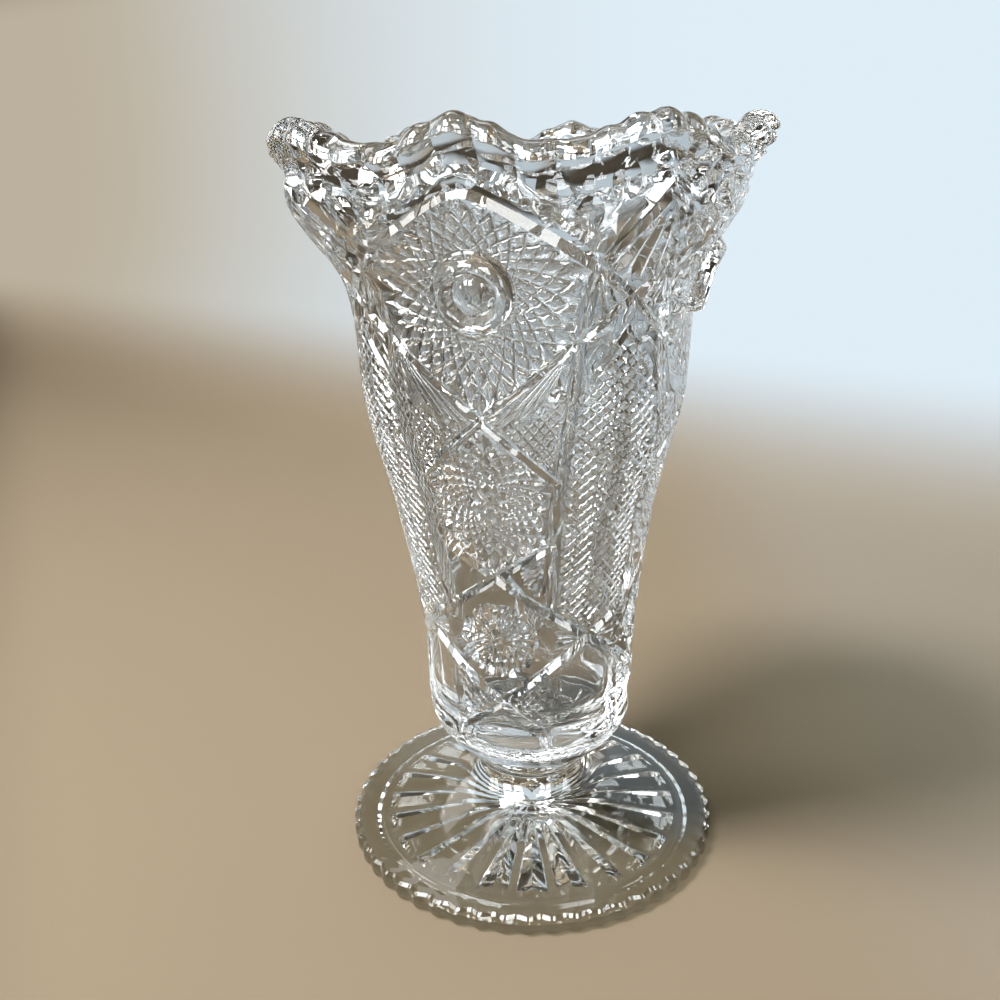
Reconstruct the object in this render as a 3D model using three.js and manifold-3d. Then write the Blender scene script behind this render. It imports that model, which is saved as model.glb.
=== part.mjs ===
// Footed vase of clear pressed glass with a pattern in the style of cut glass.
// Three pieces stand on one axis: the foot, the wafer that joins it to the bowl, and the bowl.
// Millimetres and degrees, +Z up. The origin is the middle of the foot's underside.
// Angles round the vase are measured from -Y, where the middle of a button panel is, towards +X.
import * as THREE from "three";
import { mergeVertices } from "three/addons/utils/BufferGeometryUtils.js";
import Module from "manifold-3d";

// Foot
const footRadius = 40;
const footEdgeHeight = 4.4;
const footEdgeRound = 1.3;
const footScallops = 52;
const footScallopDepth = 0.7;
const footHeight = 16.6;
const footNeckRadius = 10.8;
const footColumns = 48;
const restRingWidth = 5.5;
const footHollow = 0.9;
const starRays = 24;
const starInnerRadius = 6;
const starOuterRadius = 30.5;
const starRayDepth = 1.7;
const starTipDepth = 0.4;
const starRayHalfWidth = 1.7;

// Wafer of glass between the foot and the bowl
const waferRadius = 12.2;
const waferThickness = 2.6;
const waferRound = 0.9;
const waferColumns = 40;
const seamGap = 0.3; // between two pieces that are fused on the real vase

// Bowl: each rise is measured from the station below it
const bowlSeatRadius = 11.6;
const collarRise = 3.6;
const collarRadius = 17.4;
const heelRise = 6.2;
const heelRadius = 21.3;
const waistRise = 19.5;
const waistRadius = 22.3;
const middleRise = 27.5;
const middleRadius = 26.6;
const chestRise = 21;
const chestRadius = 31.6;
const shoulderRise = 23;
const shoulderRadius = 34;
const flareRise = 15.5;
const flareRadius = 42;
const lipRise = 13.9;
const lipRadius = 45;
const cornerSwell = 1; // the pillars stand out from the round, and the panels lie in
const cornerFlare = 1.5; // more of the same where the bowl flares
const wallThickness = 4.6;
const floorThickness = 11;
const floorRound = 8;
const lipThickness = 5;

// Scalloped rim, drawn out a little more on two opposite sides
const panels = 4;
const scallopsPerPanel = 2;
const scallopDepth = 4.4;
const scallopFlare = 0.9;
const rimOval = 1.1;
const rimOvalAngle = 112;
const bodyColumns = 32;
const rimColumns = 64; // twice the body's, for round scallops
const lipColumns = 128; // twice the rim's, for the knobs
const collarRows = 2;
const heelRows = 2;
const flareRows = 3;
const lipRows = 3;
const innerRows = 5;
const innerRimRows = 2;

// Knobs on the scallops, the ripples between them, and the upright flutes below both
const knobDrop = 0.9;
const knobWidth = 3.4; // widths and angles of the knobs are in degrees
const knobsEnd = [13, 21];
const sideKnobRise = 0.45;
const sideKnobAngle = 8.3;
const sideKnobWidth = 2.3;
const rippleRise = 0.36;
const ripplesRound = 56;
const ripplesStart = [26, 33];
const fluteDepth = 1.2;
const rippleFluteShare = 0.6;
const flutesEnd = [14.5, 19];
const fluteRise = [1.6, 4.5]; // above the arch, where a flute starts and where it has its full depth

// Pattern: cuts with a V section, placed from the lip downwards
const archPeakDrop = 11.6;
const archFootDrop = 23.7;
const archRound = 2.3;
const archHalfWidth = 2;
const archDepth = 1.5;
const gablePeakDrop = 12;
const upperCrossingDrop = 50;
const middleCrossingDrop = 81.8;
const lowerCrossingDrop = 109.1;
const mitreTopAngle = 33.2;
const mitreFootAngle = 23;
const mitreHalfWidth = 0.95;
const mitreDepth = 0.85;
const pillarCuts = 3;
const pillarCutSlope = 0.467; // millimetres a degree
const pillarCutMargin = 1.6; // degrees that these cuts keep off the mitres
const pillarCutHalfWidth = 0.7;
const pillarCutDepth = 0.6;
const pillarCutsTopDrop = 50.6; // place of the highest crossing on a pillar's middle
const pillarCutsBottomDrop = 88.4;
const pillarPeakDrop = 34.5;
const pillarPeakFall = 7.5;
const cutOverrun = 2.2; // how far a cutter stands proud of the glass
const cutStepAngle = 14;
const cutStepHeight = 14;

// Raised button in each panel, and the small stars below it
const buttonDrop = 28.2;
const buttonRadius = 6.7;
const buttonHeight = 1.9;
const buttonSideHeight = 1;
const buttonRing = 3;
const buttonRingRound = 0.8;
const lensEdgeHeight = 0.9;
const lensHeight = 1.6;
const buttonColumns = 16;
const hobstarDrop = 66.2;
const hobstarRadius = 3.9;
const hobstarSides = 8;
const rosetteRadius = 6.6;
const rosetteSides = 12;
const rosetteSpokes = 4;

const wasm = await Module();
wasm.setup();

const degrees = THREE.MathUtils.degToRad;
const circle = 360;
const panelAngle = circle / panels;
const pillarAngle = panelAngle / 2;
const weldDistance = 1e-4;
const sinkSteps = 4; // tries at the height from which a scallop has sunk a point

// Heights that the pieces share
const waferBase = footHeight + seamGap;
const bowlBase = waferBase + waferThickness + seamGap;
const bowlStations = [
  [0, bowlSeatRadius],
  [collarRise, collarRadius],
  [heelRise, heelRadius],
  [waistRise, waistRadius],
  [middleRise, middleRadius],
  [chestRise, chestRadius],
  [shoulderRise, shoulderRadius],
  [flareRise, flareRadius],
  [lipRise, lipRadius],
];
const stationHeights = bowlStations.map((_, i) =>
  bowlStations.slice(0, i + 1).reduce((sum, [rise]) => sum + rise, bowlBase),
);
const lipHeight = stationHeights.at(-1);
const [, collarHeight, heelHeight, waistHeight, middleHeight, chestHeight, shoulderHeight, flareHeight] =
  stationHeights;
const archPeakHeight = lipHeight - archPeakDrop;
const archFootHeight = lipHeight - archFootDrop;
const upperCrossing = lipHeight - upperCrossingDrop;
const middleCrossing = lipHeight - middleCrossingDrop;
const lowerCrossing = lipHeight - lowerCrossingDrop;
const upperSlope = (archFootHeight - upperCrossing) / (panelAngle - mitreTopAngle);
const lowerSlope = (middleCrossing - lowerCrossing) / panelAngle;

function pointAt(angle, radius, height) {
  return new THREE.Vector3(
    radius * Math.sin(degrees(angle)),
    -radius * Math.cos(degrees(angle)),
    height,
  );
}

function mix(from, to, share) {
  return from + (to - from) * share;
}

function smoothShare(value, from, to) {
  return THREE.MathUtils.smoothstep(value, from, to);
}

// Outer radius of the bowl before its rim is scalloped: a smooth curve through the stations
function bowlRadius(height) {
  const last = bowlStations.length - 1;
  const h = THREE.MathUtils.clamp(height, bowlBase, lipHeight);
  const i = Math.max(1, stationHeights.findIndex((top) => h <= top));
  const share = (h - stationHeights[i - 1]) / (stationHeights[i] - stationHeights[i - 1]);
  const slope = (k) => {
    const low = Math.max(0, k - 1);
    const high = Math.min(last, k + 1);
    return (bowlStations[high][1] - bowlStations[low][1]) / (stationHeights[high] - stationHeights[low]);
  };
  const span = stationHeights[i] - stationHeights[i - 1];
  const s2 = share * share;
  const s3 = s2 * share;
  return (
    (2 * s3 - 3 * s2 + 1) * bowlStations[i - 1][1] +
    (s3 - 2 * s2 + share) * span * slope(i - 1) +
    (3 * s2 - 2 * s3) * bowlStations[i][1] +
    (s3 - s2) * span * slope(i)
  );
}

// How far the pillars stand out and the panels lie in at this height
function cornerReach(height) {
  const begins = smoothShare(height, shoulderHeight, flareHeight);
  const ends = smoothShare(height, flareHeight, lipHeight);
  return cornerSwell * smoothShare(height, waistHeight, middleHeight) + cornerFlare * (begins - ends);
}

// Angle from the middle of the nearest panel
function fromPanel(angle) {
  return Math.abs(THREE.MathUtils.euclideanModulo(angle + pillarAngle, panelAngle) - pillarAngle);
}

function bell(distance, width) {
  return Math.exp(-((distance / width) ** 2));
}

// 0 on a crest and 1 in a trough of waves that are this many degrees apart
function wave(distance, apart) {
  return (1 - Math.cos(degrees((circle * distance) / apart))) / 2;
}

// How far the knobs lower the lip between them
function knobSink(angle) {
  const across = fromPanel(angle);
  const middle = knobDrop * (1 - bell(across, knobWidth));
  const side = sideKnobRise * bell(across - sideKnobAngle, sideKnobWidth);
  const ripple = rippleRise * wave(pillarAngle - across, circle / ripplesRound);
  const onPanel = 1 - smoothShare(across, ...knobsEnd);
  return onPanel * (middle - side) + smoothShare(across, ...ripplesStart) * ripple;
}

// Depth on the lip of the upright flutes that lie between the knobs
function fluteInset(angle) {
  const across = fromPanel(angle);
  const onPanel = wave(across, sideKnobAngle) * (1 - smoothShare(across, ...flutesEnd));
  const onPillar = wave(pillarAngle - across, circle / ripplesRound) * smoothShare(across, ...ripplesStart);
  return fluteDepth * (onPanel + rippleFluteShare * onPillar);
}

// How far the bowl's face sinks and swells at this angle; the scallops are full on the lip
function rimChange(angle, height) {
  const strength = smoothShare(height, shoulderHeight, lipHeight);
  const knob = knobSink(angle) * strength ** 3;
  const lobe = Math.cos(degrees(angle * panels * scallopsPerPanel));
  const oval = Math.cos(degrees(2 * (angle - rimOvalAngle)));
  const corner = -Math.cos(degrees(angle * panels));
  return {
    sink: (scallopDepth * strength * (1 - lobe)) / 2 + knob,
    swell: strength * (scallopFlare * lobe + rimOval * oval) + corner * cornerReach(height),
  };
}

function bowlPoint(angle, height, inset = 0, lift = 0) {
  const { sink, swell } = rimChange(angle, height);
  return pointAt(angle, bowlRadius(height) + swell - inset, height - sink + lift);
}

// Point of the bowl's outer face at a height that already allows for the scallops
function facePoint(angle, height) {
  let unsunk = height;
  for (let i = 0; i < sinkSteps; i++) unsunk = height + rimChange(angle, unsunk).sink;
  return bowlPoint(angle, unsunk);
}

// Point of the outer face above the arches, where it has the flutes below the knobs
function flutedPoint(angle, height) {
  const across = fromPanel(angle);
  const edge = across < mitreTopAngle ? archHeight(across) : gableHeight(across);
  const above = height - rimChange(angle, height).sink - edge;
  return bowlPoint(angle, height, fluteInset(angle) * smoothShare(above, ...fluteRise));
}

// Triangles between two rings of points, which may differ in number
function stitch(low, lowCount, high, highCount) {
  const steps = Math.max(lowCount, highCount);
  const onRing = (first, count, i) => first + (Math.floor((i * count) / steps) % count);
  const index = [];
  for (let i = 0; i < steps; i++) {
    const [a, b] = [i, i + 1].map((k) => onRing(low, lowCount, k));
    const [c, d] = [i, i + 1].map((k) => onRing(high, highCount, k));
    if (a !== b) index.push(a, b, d);
    if (c !== d) index.push(a, d, c);
  }
  return index;
}

// Closed surface through rings of points that are listed from below the piece round its outside
function surfaceThroughRings(rings, firstPole, lastPole) {
  const points = [firstPole, ...rings.flat(), lastPole];
  const index = [];
  let low = 1;
  rings.forEach((ring, r) => {
    const above = rings[r + 1];
    const high = low + ring.length;
    const closes = (pole, turn) =>
      ring.forEach((_, i) => {
        const edge = [low + i, low + ((i + 1) % ring.length)];
        index.push(pole, edge[1 - turn], edge[turn]);
      });
    if (r === 0) closes(0, 0);
    if (above) index.push(...stitch(low, ring.length, high, above.length));
    else closes(points.length - 1, 1);
    low = high;
  });
  const geometry = new THREE.BufferGeometry().setFromPoints(points);
  geometry.setIndex(index);
  return geometry;
}

function ringOf(columns, place) {
  return Array.from({ length: columns }, (_, i) => place((i * circle) / columns));
}

function solid(geometry) {
  const bare = geometry.clone();
  bare.deleteAttribute("normal");
  bare.deleteAttribute("uv");
  const merged = mergeVertices(bare, weldDistance);
  return new wasm.Manifold(
    new wasm.Mesh({
      numProp: 3,
      vertProperties: new Float32Array(merged.attributes.position.array),
      triVerts: new Uint32Array(merged.index.array),
    }),
  );
}

function geometryOf(body) {
  const mesh = body.getMesh();
  const geometry = new THREE.BufferGeometry();
  geometry.setAttribute("position", new THREE.BufferAttribute(mesh.vertProperties, 3));
  geometry.setIndex(new THREE.BufferAttribute(mesh.triVerts, 1));
  geometry.computeVertexNormals();
  return geometry;
}

// Frame on the bowl's outer face: the point, the way up the face and the way out of the glass
function faceFrame(angle, height, reach = 1) {
  const point = facePoint(angle, height);
  const up = facePoint(angle, height + reach).sub(facePoint(angle, height - reach)).normalize();
  const round = facePoint(angle + reach, height).sub(facePoint(angle - reach, height));
  const out = round.cross(up).normalize();
  return { point, up, out };
}

// Cutter for a V cut that follows a line of [angle, height] on the bowl's face
function cutAlong(line, halfWidth, depth, closed = false) {
  const frames = line.map(([angle, height]) => faceFrame(angle, height));
  const spread = (halfWidth * (depth + cutOverrun)) / depth;
  const rings = frames.map(({ point, out }, i) => {
    const before = frames.at(closed ? i - 1 : Math.max(0, i - 1)).point;
    const after = frames[closed ? (i + 1) % frames.length : Math.min(frames.length - 1, i + 1)].point;
    const side = out.clone().cross(after.clone().sub(before)).normalize();
    const top = point.clone().addScaledVector(out, cutOverrun);
    return [
      point.clone().addScaledVector(out, -depth),
      top.clone().addScaledVector(side, spread),
      top.clone().addScaledVector(side, -spread),
    ];
  });
  const index = [];
  const steps = closed ? rings.length : rings.length - 1;
  const corners = rings[0].length;
  for (let i = 0; i < steps; i++) {
    const low = corners * i;
    const high = corners * ((i + 1) % rings.length);
    for (let k = 0; k < corners; k++) {
      const next = (k + 1) % corners;
      index.push(low + k, low + next, high + next, low + k, high + next, high + k);
    }
  }
  if (!closed) {
    const end = corners * (rings.length - 1);
    index.push(0, 2, 1, end, end + 1, end + 2);
  }
  const geometry = new THREE.BufferGeometry().setFromPoints(rings.flat());
  geometry.setIndex(index);
  return solid(geometry);
}

// Line of [angle, height] points from place(0) to place(1), with steps short enough to bend round
function lineOf(place) {
  const [[angleA, heightA], [angleB, heightB]] = [place(0), place(1)];
  const across = Math.abs(angleB - angleA) / cutStepAngle;
  const steps = Math.ceil(Math.max(across, Math.abs(heightB - heightA) / cutStepHeight));
  return Array.from({ length: steps + 1 }, (_, i) => place(i / steps));
}

function straightLine([angleA, heightA], [angleB, heightB]) {
  return lineOf((share) => [mix(angleA, angleB, share), mix(heightA, heightB, share)]);
}

function circleOn(angle, height, radius, steps) {
  const across = THREE.MathUtils.radToDeg(radius / bowlRadius(height));
  return Array.from({ length: steps }, (_, i) => {
    const turn = degrees((i * circle) / steps);
    return [angle + across * Math.cos(turn), height + radius * Math.sin(turn)];
  });
}

// The upright mitres draw together from the arches' feet down to the lower slanting lines
function mitreAngle(height) {
  const rise = (height - heelHeight) / (archFootHeight - heelHeight);
  return mix(mitreFootAngle, mitreTopAngle, rise ** 3);
}

function mitreLine(side) {
  const footHeight = middleCrossing - lowerSlope * mitreFootAngle;
  return lineOf((share) => {
    const height = mix(footHeight, archFootHeight, share);
    return [side * mitreAngle(height), height];
  });
}

// Wide arch over a panel, with a rounded peak between two straight sides
function archHeight(angle) {
  const fall = archPeakHeight - archFootHeight + archRound;
  const straight = Math.sqrt(fall * fall - archRound * archRound);
  return archPeakHeight + archRound - Math.hypot((straight * angle) / mitreTopAngle, archRound);
}

function archLine() {
  return lineOf((share) => {
    const angle = mix(-mitreTopAngle, mitreTopAngle, share);
    return [angle, archHeight(angle)];
  });
}

// Lines that run from one panel into the next: the upper pair frames the buttons, the lower pair the rosettes
function slantingLines(side) {
  return [
    straightLine(
      [-side * mitreFootAngle, upperCrossing - upperSlope * mitreFootAngle],
      [side * (panelAngle - mitreTopAngle), archFootHeight],
    ),
    straightLine(
      [-side * mitreFootAngle, middleCrossing + lowerSlope * mitreFootAngle],
      [side * (panelAngle + mitreFootAngle), lowerCrossing - lowerSlope * mitreFootAngle],
    ),
  ];
}

// Gable over a pillar, between the feet of two arches
function gableHeight(angle) {
  const share = (angle - mitreTopAngle) / (pillarAngle - mitreTopAngle);
  return mix(archFootHeight, lipHeight - gablePeakDrop, share);
}

function gableLine(side) {
  return straightLine([side * mitreTopAngle, archFootHeight], [side * pillarAngle, gableHeight(pillarAngle)]);
}

// Crossing cuts that divide a pillar into diamonds
function pillarCrosses() {
  const heights = Array.from({ length: pillarCuts }, (_, i) =>
    lipHeight - mix(pillarCutsTopDrop, pillarCutsBottomDrop, i / (pillarCuts - 1)),
  );
  return heights.flatMap((height) => {
    const reach = pillarAngle - mitreAngle(height) - pillarCutMargin;
    return [-1, 1].map((slope) => {
      const rise = slope * pillarCutSlope * reach;
      return straightLine([pillarAngle - reach, height - rise], [pillarAngle + reach, height + rise]);
    });
  });
}

// Chevron that closes a pillar's diamonds off below the upper slanting lines
function pillarPeak() {
  const height = lipHeight - pillarPeakDrop;
  const reach = pillarAngle - mitreAngle(height) - pillarCutMargin;
  return [-1, 0, 1].map((turn) => [pillarAngle + turn * reach, height - Math.abs(turn) * pillarPeakFall]);
}

function starSpokes(height) {
  const ends = circleOn(0, height, rosetteRadius, 2 * rosetteSpokes);
  return ends.slice(0, rosetteSpokes).map((end, i) => straightLine(end, ends[i + rosetteSpokes]));
}

function cutsOfOnePanel() {
  const rosetteHeight = (middleCrossing + lowerCrossing) / 2;
  const narrow = (line, closed) => cutAlong(line, mitreHalfWidth, mitreDepth, closed);
  const cuts = [cutAlong(archLine(), archHalfWidth, archDepth)];
  for (const side of [-1, 1])
    for (const line of [mitreLine(side), gableLine(side), ...slantingLines(side)]) cuts.push(narrow(line));
  cuts.push(narrow(circleOn(0, rosetteHeight, rosetteRadius, rosetteSides), true));
  cuts.push(narrow(circleOn(0, lipHeight - hobstarDrop, hobstarRadius, hobstarSides), true));
  for (const spoke of starSpokes(rosetteHeight)) cuts.push(narrow(spoke));
  for (const line of [...pillarCrosses(), pillarPeak()])
    cuts.push(cutAlong(line, pillarCutHalfWidth, pillarCutDepth));
  return cuts;
}

// Round button with a raised ring round a low lens, seated in the glass
function button() {
  const { point, up, out } = faceFrame(0, lipHeight - buttonDrop, buttonRadius);
  const lensRadius = buttonRadius - buttonRing;
  const outline = [
    [0, -buttonHeight],
    [buttonRadius, -buttonHeight],
    [buttonRadius, buttonSideHeight],
    [buttonRadius - buttonRingRound, buttonHeight],
    [lensRadius + buttonRingRound, buttonHeight],
    [lensRadius, lensEdgeHeight],
    [lensRadius / 2, mix(lensEdgeHeight, lensHeight, 3 / 4)],
    [0, lensHeight],
  ];
  const geometry = new THREE.LatheGeometry(flatOutline(outline), buttonColumns);
  const side = up.clone().cross(out);
  geometry.applyMatrix4(new THREE.Matrix4().makeBasis(side, out, up.clone().negate()).setPosition(point));
  return solid(geometry);
}

// Evenly spaced heights above the low one, up to and with the high one
function rowsBetween(low, high, rows) {
  return Array.from({ length: rows }, (_, i) => mix(low, high, (i + 1) / rows));
}

// Rings of the bowl's outer face from its seat to where the lip begins to round over
function outerRings() {
  const collar = rowsBetween(bowlBase, collarHeight, collarRows);
  const heel = rowsBetween(collarHeight, heelHeight, heelRows);
  const body = [bowlBase, ...collar, ...heel, waistHeight, middleHeight, chestHeight, shoulderHeight];
  const flare = rowsBetween(shoulderHeight, flareHeight, flareRows);
  const lip = rowsBetween(flareHeight, lipHeight, lipRows).slice(0, -1);
  return [
    ...body.map((height) => ringOf(bodyColumns, (angle) => bowlPoint(angle, height))),
    ...flare.map((height) => ringOf(rimColumns, (angle) => bowlPoint(angle, height))),
    ...lip.map((height) => ringOf(lipColumns, (angle) => flutedPoint(angle, height))),
  ];
}

// The lip rounds over from the outer to the inner face in a half circle
function lipRings() {
  const half = lipThickness / 2;
  const turns = [0, 40, 90, 140, 180];
  return turns.map((turn) => {
    const inset = half * (1 - Math.cos(degrees(turn)));
    const lift = half * Math.sin(degrees(turn)) - half;
    const fluted = (1 + Math.cos(degrees(turn))) / 2;
    const place = (angle) => bowlPoint(angle, lipHeight, inset + fluted * fluteInset(angle), lift);
    return ringOf(lipColumns, place);
  });
}

// Rings of the inner face, down to where the floor begins to round over
function innerRings(bottom) {
  const top = lipHeight - lipThickness / 2;
  return rowsBetween(top, bottom, innerRows).map((height, row) => {
    const inset = mix(lipThickness, wallThickness, (row + 1) / innerRows);
    const columns = row < innerRimRows ? rimColumns : bodyColumns;
    return ringOf(columns, (angle) => bowlPoint(angle, height, inset));
  });
}

function floorRings(floorHeight) {
  const radius = bowlRadius(floorHeight + floorRound) - wallThickness;
  const turns = [30, 60, 85];
  return turns.map((turn) => {
    const inset = floorRound * (1 - Math.cos(degrees(turn)));
    const height = floorHeight + floorRound * (1 - Math.sin(degrees(turn)));
    return ringOf(bodyColumns, (angle) => pointAt(angle, radius - inset, height));
  });
}

function bowl() {
  const floorHeight = bowlBase + floorThickness;
  const rings = [
    ...outerRings(),
    ...lipRings(),
    ...innerRings(floorHeight + floorRound),
    ...floorRings(floorHeight),
  ];
  let body = solid(surfaceThroughRings(rings, pointAt(0, 0, bowlBase), pointAt(0, 0, floorHeight)));
  for (let panel = 0; panel < panels; panel++) {
    const turn = [0, 0, panel * panelAngle];
    for (const cut of cutsOfOnePanel()) body = body.subtract(cut.rotate(turn));
    body = body.add(button().rotate(turn));
  }
  return geometryOf(body);
}

function wafer() {
  const half = waferThickness / 2;
  const outline = [
    [0, 0],
    [waferRadius - waferRound, 0],
    [waferRadius, half],
    [waferRadius - waferRound, waferThickness],
    [0, waferThickness],
  ];
  return turned(outline, waferColumns);
}

// Radius of the foot's edge, which goes in and out once a scallop
function edgeRadius(angle) {
  const wave = (1 - Math.cos(degrees(angle * footScallops))) / 2;
  return footRadius - footScallopDepth * wave;
}

function flatOutline(points) {
  return points.map(([r, h]) => new THREE.Vector2(r, h));
}

// Solid of revolution about the vase's axis, from an outline of [radius, height] going up outside
function turned(outline, columns) {
  return new THREE.LatheGeometry(flatOutline(outline), columns).rotateX(Math.PI / 2);
}

// Flat plate with the scalloped edge, rounded above and below
function footPlate() {
  const rim = ringOf(2 * footScallops, (angle) => pointAt(angle, edgeRadius(angle), 0));
  const plate = new THREE.ExtrudeGeometry(new THREE.Shape(rim.map(({ x, y }) => new THREE.Vector2(x, y))), {
    depth: footEdgeHeight - 2 * footEdgeRound,
    bevelThickness: footEdgeRound,
    bevelSize: footEdgeRound,
    bevelOffset: -footEdgeRound,
    bevelSegments: 2,
  });
  return solid(plate.translate(0, 0, footEdgeRound));
}

// The foot's top as shares of the way in to the neck and of the way up to it
const footRise = [[0, 0], [0.3, 0.1], [0.6, 0.27], [0.82, 0.52], [0.95, 0.8], [1, 1]];

function foot() {
  const riseRadius = footRadius - footScallopDepth - footEdgeRound;
  const rise = turned(
    [
      [0, footEdgeHeight / 2],
      [riseRadius, footEdgeHeight / 2],
      ...footRise.map(([inward, upward]) => [
        mix(riseRadius, footNeckRadius, inward),
        mix(footEdgeHeight, footHeight, upward),
      ]),
      [0, footHeight],
    ],
    footColumns,
  );
  const restInner = footRadius - restRingWidth;
  const hollow = turned(
    [
      [0, -footHollow],
      [restInner, -footHollow],
      [restInner, 0],
      [restInner - footHollow, footHollow],
      [0, footHollow],
    ],
    footColumns,
  );
  let body = footPlate().add(solid(rise)).subtract(solid(hollow));
  for (let i = 0; i < starRays; i++) body = body.subtract(starRay().rotate([0, 0, (i * circle) / starRays]));
  return geometryOf(body);
}

// Cutter for one ray of the star under the foot: a V that widens and deepens outwards
function starRay() {
  const inner = pointAt(0, starInnerRadius, footHollow + starTipDepth);
  const outer = pointAt(0, starOuterRadius, footHollow + starRayDepth);
  const tip = pointAt(0, starOuterRadius + starRayDepth, footHollow);
  const across = new THREE.Vector3(starRayHalfWidth, 0, 0);
  const below = new THREE.Vector3(0, 0, -footHollow);
  const near = pointAt(0, starInnerRadius, footHollow);
  const far = pointAt(0, starOuterRadius, footHollow);
  const corners = [
    near,
    far.clone().sub(across),
    tip,
    far.clone().add(across),
  ];
  const low = corners.map((c) => c.clone().add(below));
  const points = [inner, outer, ...corners, ...low];
  const index = [
    0, 3, 1, 1, 3, 4, 1, 4, 5, 0, 1, 5, 0, 2, 3, 0, 5, 2,
    2, 6, 7, 2, 7, 3, 3, 7, 8, 3, 8, 4, 4, 8, 9, 4, 9, 5, 5, 9, 6, 5, 6, 2,
    6, 9, 8, 6, 8, 7,
  ];
  const geometry = new THREE.BufferGeometry().setFromPoints(points);
  geometry.setIndex(index);
  return solid(geometry);
}

function glass(color, roughness) {
  return new THREE.MeshStandardMaterial({ color, roughness, metalness: 0 });
}

function piece(name, geometry, material, height = 0) {
  const mesh = new THREE.Mesh(geometry, material);
  mesh.name = name;
  mesh.position.z = height;
  return mesh;
}

const vase = new THREE.Group();
vase.add(
  piece("foot", foot(), glass(0xdfe6e3, 0.06)),
  piece("stem_wafer", wafer(), glass(0xe3e8e6, 0.05), waferBase),
  piece("bowl", bowl(), glass(0xe6eaea, 0.04)),
);

export default vase;
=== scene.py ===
import math

import bmesh
import bpy
import numpy as np
from mathutils import Matrix, Vector
from mathutils.geometry import delaunay_2d_cdt


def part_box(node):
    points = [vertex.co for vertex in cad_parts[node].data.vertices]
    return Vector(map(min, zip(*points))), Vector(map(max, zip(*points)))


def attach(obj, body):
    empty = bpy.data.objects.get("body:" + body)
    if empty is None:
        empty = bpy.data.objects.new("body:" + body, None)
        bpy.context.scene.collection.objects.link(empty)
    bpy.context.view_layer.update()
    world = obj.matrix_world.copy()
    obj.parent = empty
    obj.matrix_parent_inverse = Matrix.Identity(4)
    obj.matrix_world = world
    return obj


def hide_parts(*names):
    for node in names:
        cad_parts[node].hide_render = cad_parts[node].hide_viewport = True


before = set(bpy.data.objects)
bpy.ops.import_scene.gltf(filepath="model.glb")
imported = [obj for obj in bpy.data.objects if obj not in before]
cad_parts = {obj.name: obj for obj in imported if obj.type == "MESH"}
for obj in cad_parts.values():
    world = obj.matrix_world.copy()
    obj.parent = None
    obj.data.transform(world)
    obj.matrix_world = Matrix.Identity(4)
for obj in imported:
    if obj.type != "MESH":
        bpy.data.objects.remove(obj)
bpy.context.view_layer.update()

# Footed vase of clear pressed glass with a pattern in the style of cut glass.
# Shapes are worked out in millimetres and degrees, and turned into metres where a mesh is made.
# Angles round the vase are measured from -Y, where the middle of a button panel is, towards +X.
MM = 0.001
CIRCLE = 360
PANELS = 4
PANEL = CIRCLE / PANELS
WEDGE = PANEL / 2

# Camera: its place round the vase, and how far it turns away from the axis
CAMERA_DISTANCE = 203
CAMERA_HEIGHT = 144.5
CAMERA_ANGLE = 15
CAMERA_PITCH = 18.7
CAMERA_YAW = -1.636
CAMERA_ROLL = -1.141
CAMERA_LENS = 37.44
CAMERA_SENSOR = 36

# Bright cards and windows round the vase, for its glass to mirror: name, turn from the back and rise in
# degrees, size in metres, brightness and colour
CARD_DISTANCE = 0.8
PANE_SHARE = 0.42
CARDS = [
    ("right_card", -52, 34, (0.35, 0.5), 3.5, (0.84, 0.94, 1.0)),
    ("left_card", 50, 34, (0.25, 0.5), 3.0, (1.0, 0.98, 0.95)),
    ("top_card", -5, 58, (0.55, 0.3), 2.4, (0.97, 0.98, 1.0)),
]
WINDOWS = [
    ("front_left_window", 140, 38, (0.5, 0.62), 26, (0.9, 0.96, 1.0)),
    ("front_right_window", -150, 32, (0.3, 0.6), 16, (0.95, 0.98, 1.0)),
    ("left_window", 98, 24, (0.3, 0.5), 12, (1.0, 0.98, 0.95)),
    ("right_window", -100, 24, (0.3, 0.5), 12, (0.88, 0.95, 1.0)),
]
CEILING_SPOTS = [(30, 68), (-40, 62), (110, 60), (-115, 66), (165, 72), (-165, 50)]  # turn and rise
CEILING_SPOT = ((0.06, 0.06), 70, (1.0, 0.9, 0.74))
WINDOW_LIGHT = ((-0.33, -0.28, 0.79), (0.22, 0.22), 6.9, (0.96, 0.98, 1.0))  # place, size, watts, colour
LAMP_AIM = (0, 0, 0.08)
DOME_SPAN = (0.0, 0.8)
DOME_LOW_COLOR = (0.125, 0.11, 0.09)
DOME_HIGH_COLOR = (0.034, 0.026, 0.017)

# Table that curves up into a wall behind the vase, turned a little from the camera's own direction
TABLE_FRONT = -1600
TABLE_HALF_WIDTH = 1800
WALL_DISTANCE = 350
WALL_CURVE = 160
WALL_CURVE_STEPS = 24
WALL_HEIGHT = 1500
WALL_TURN = -36

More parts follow.
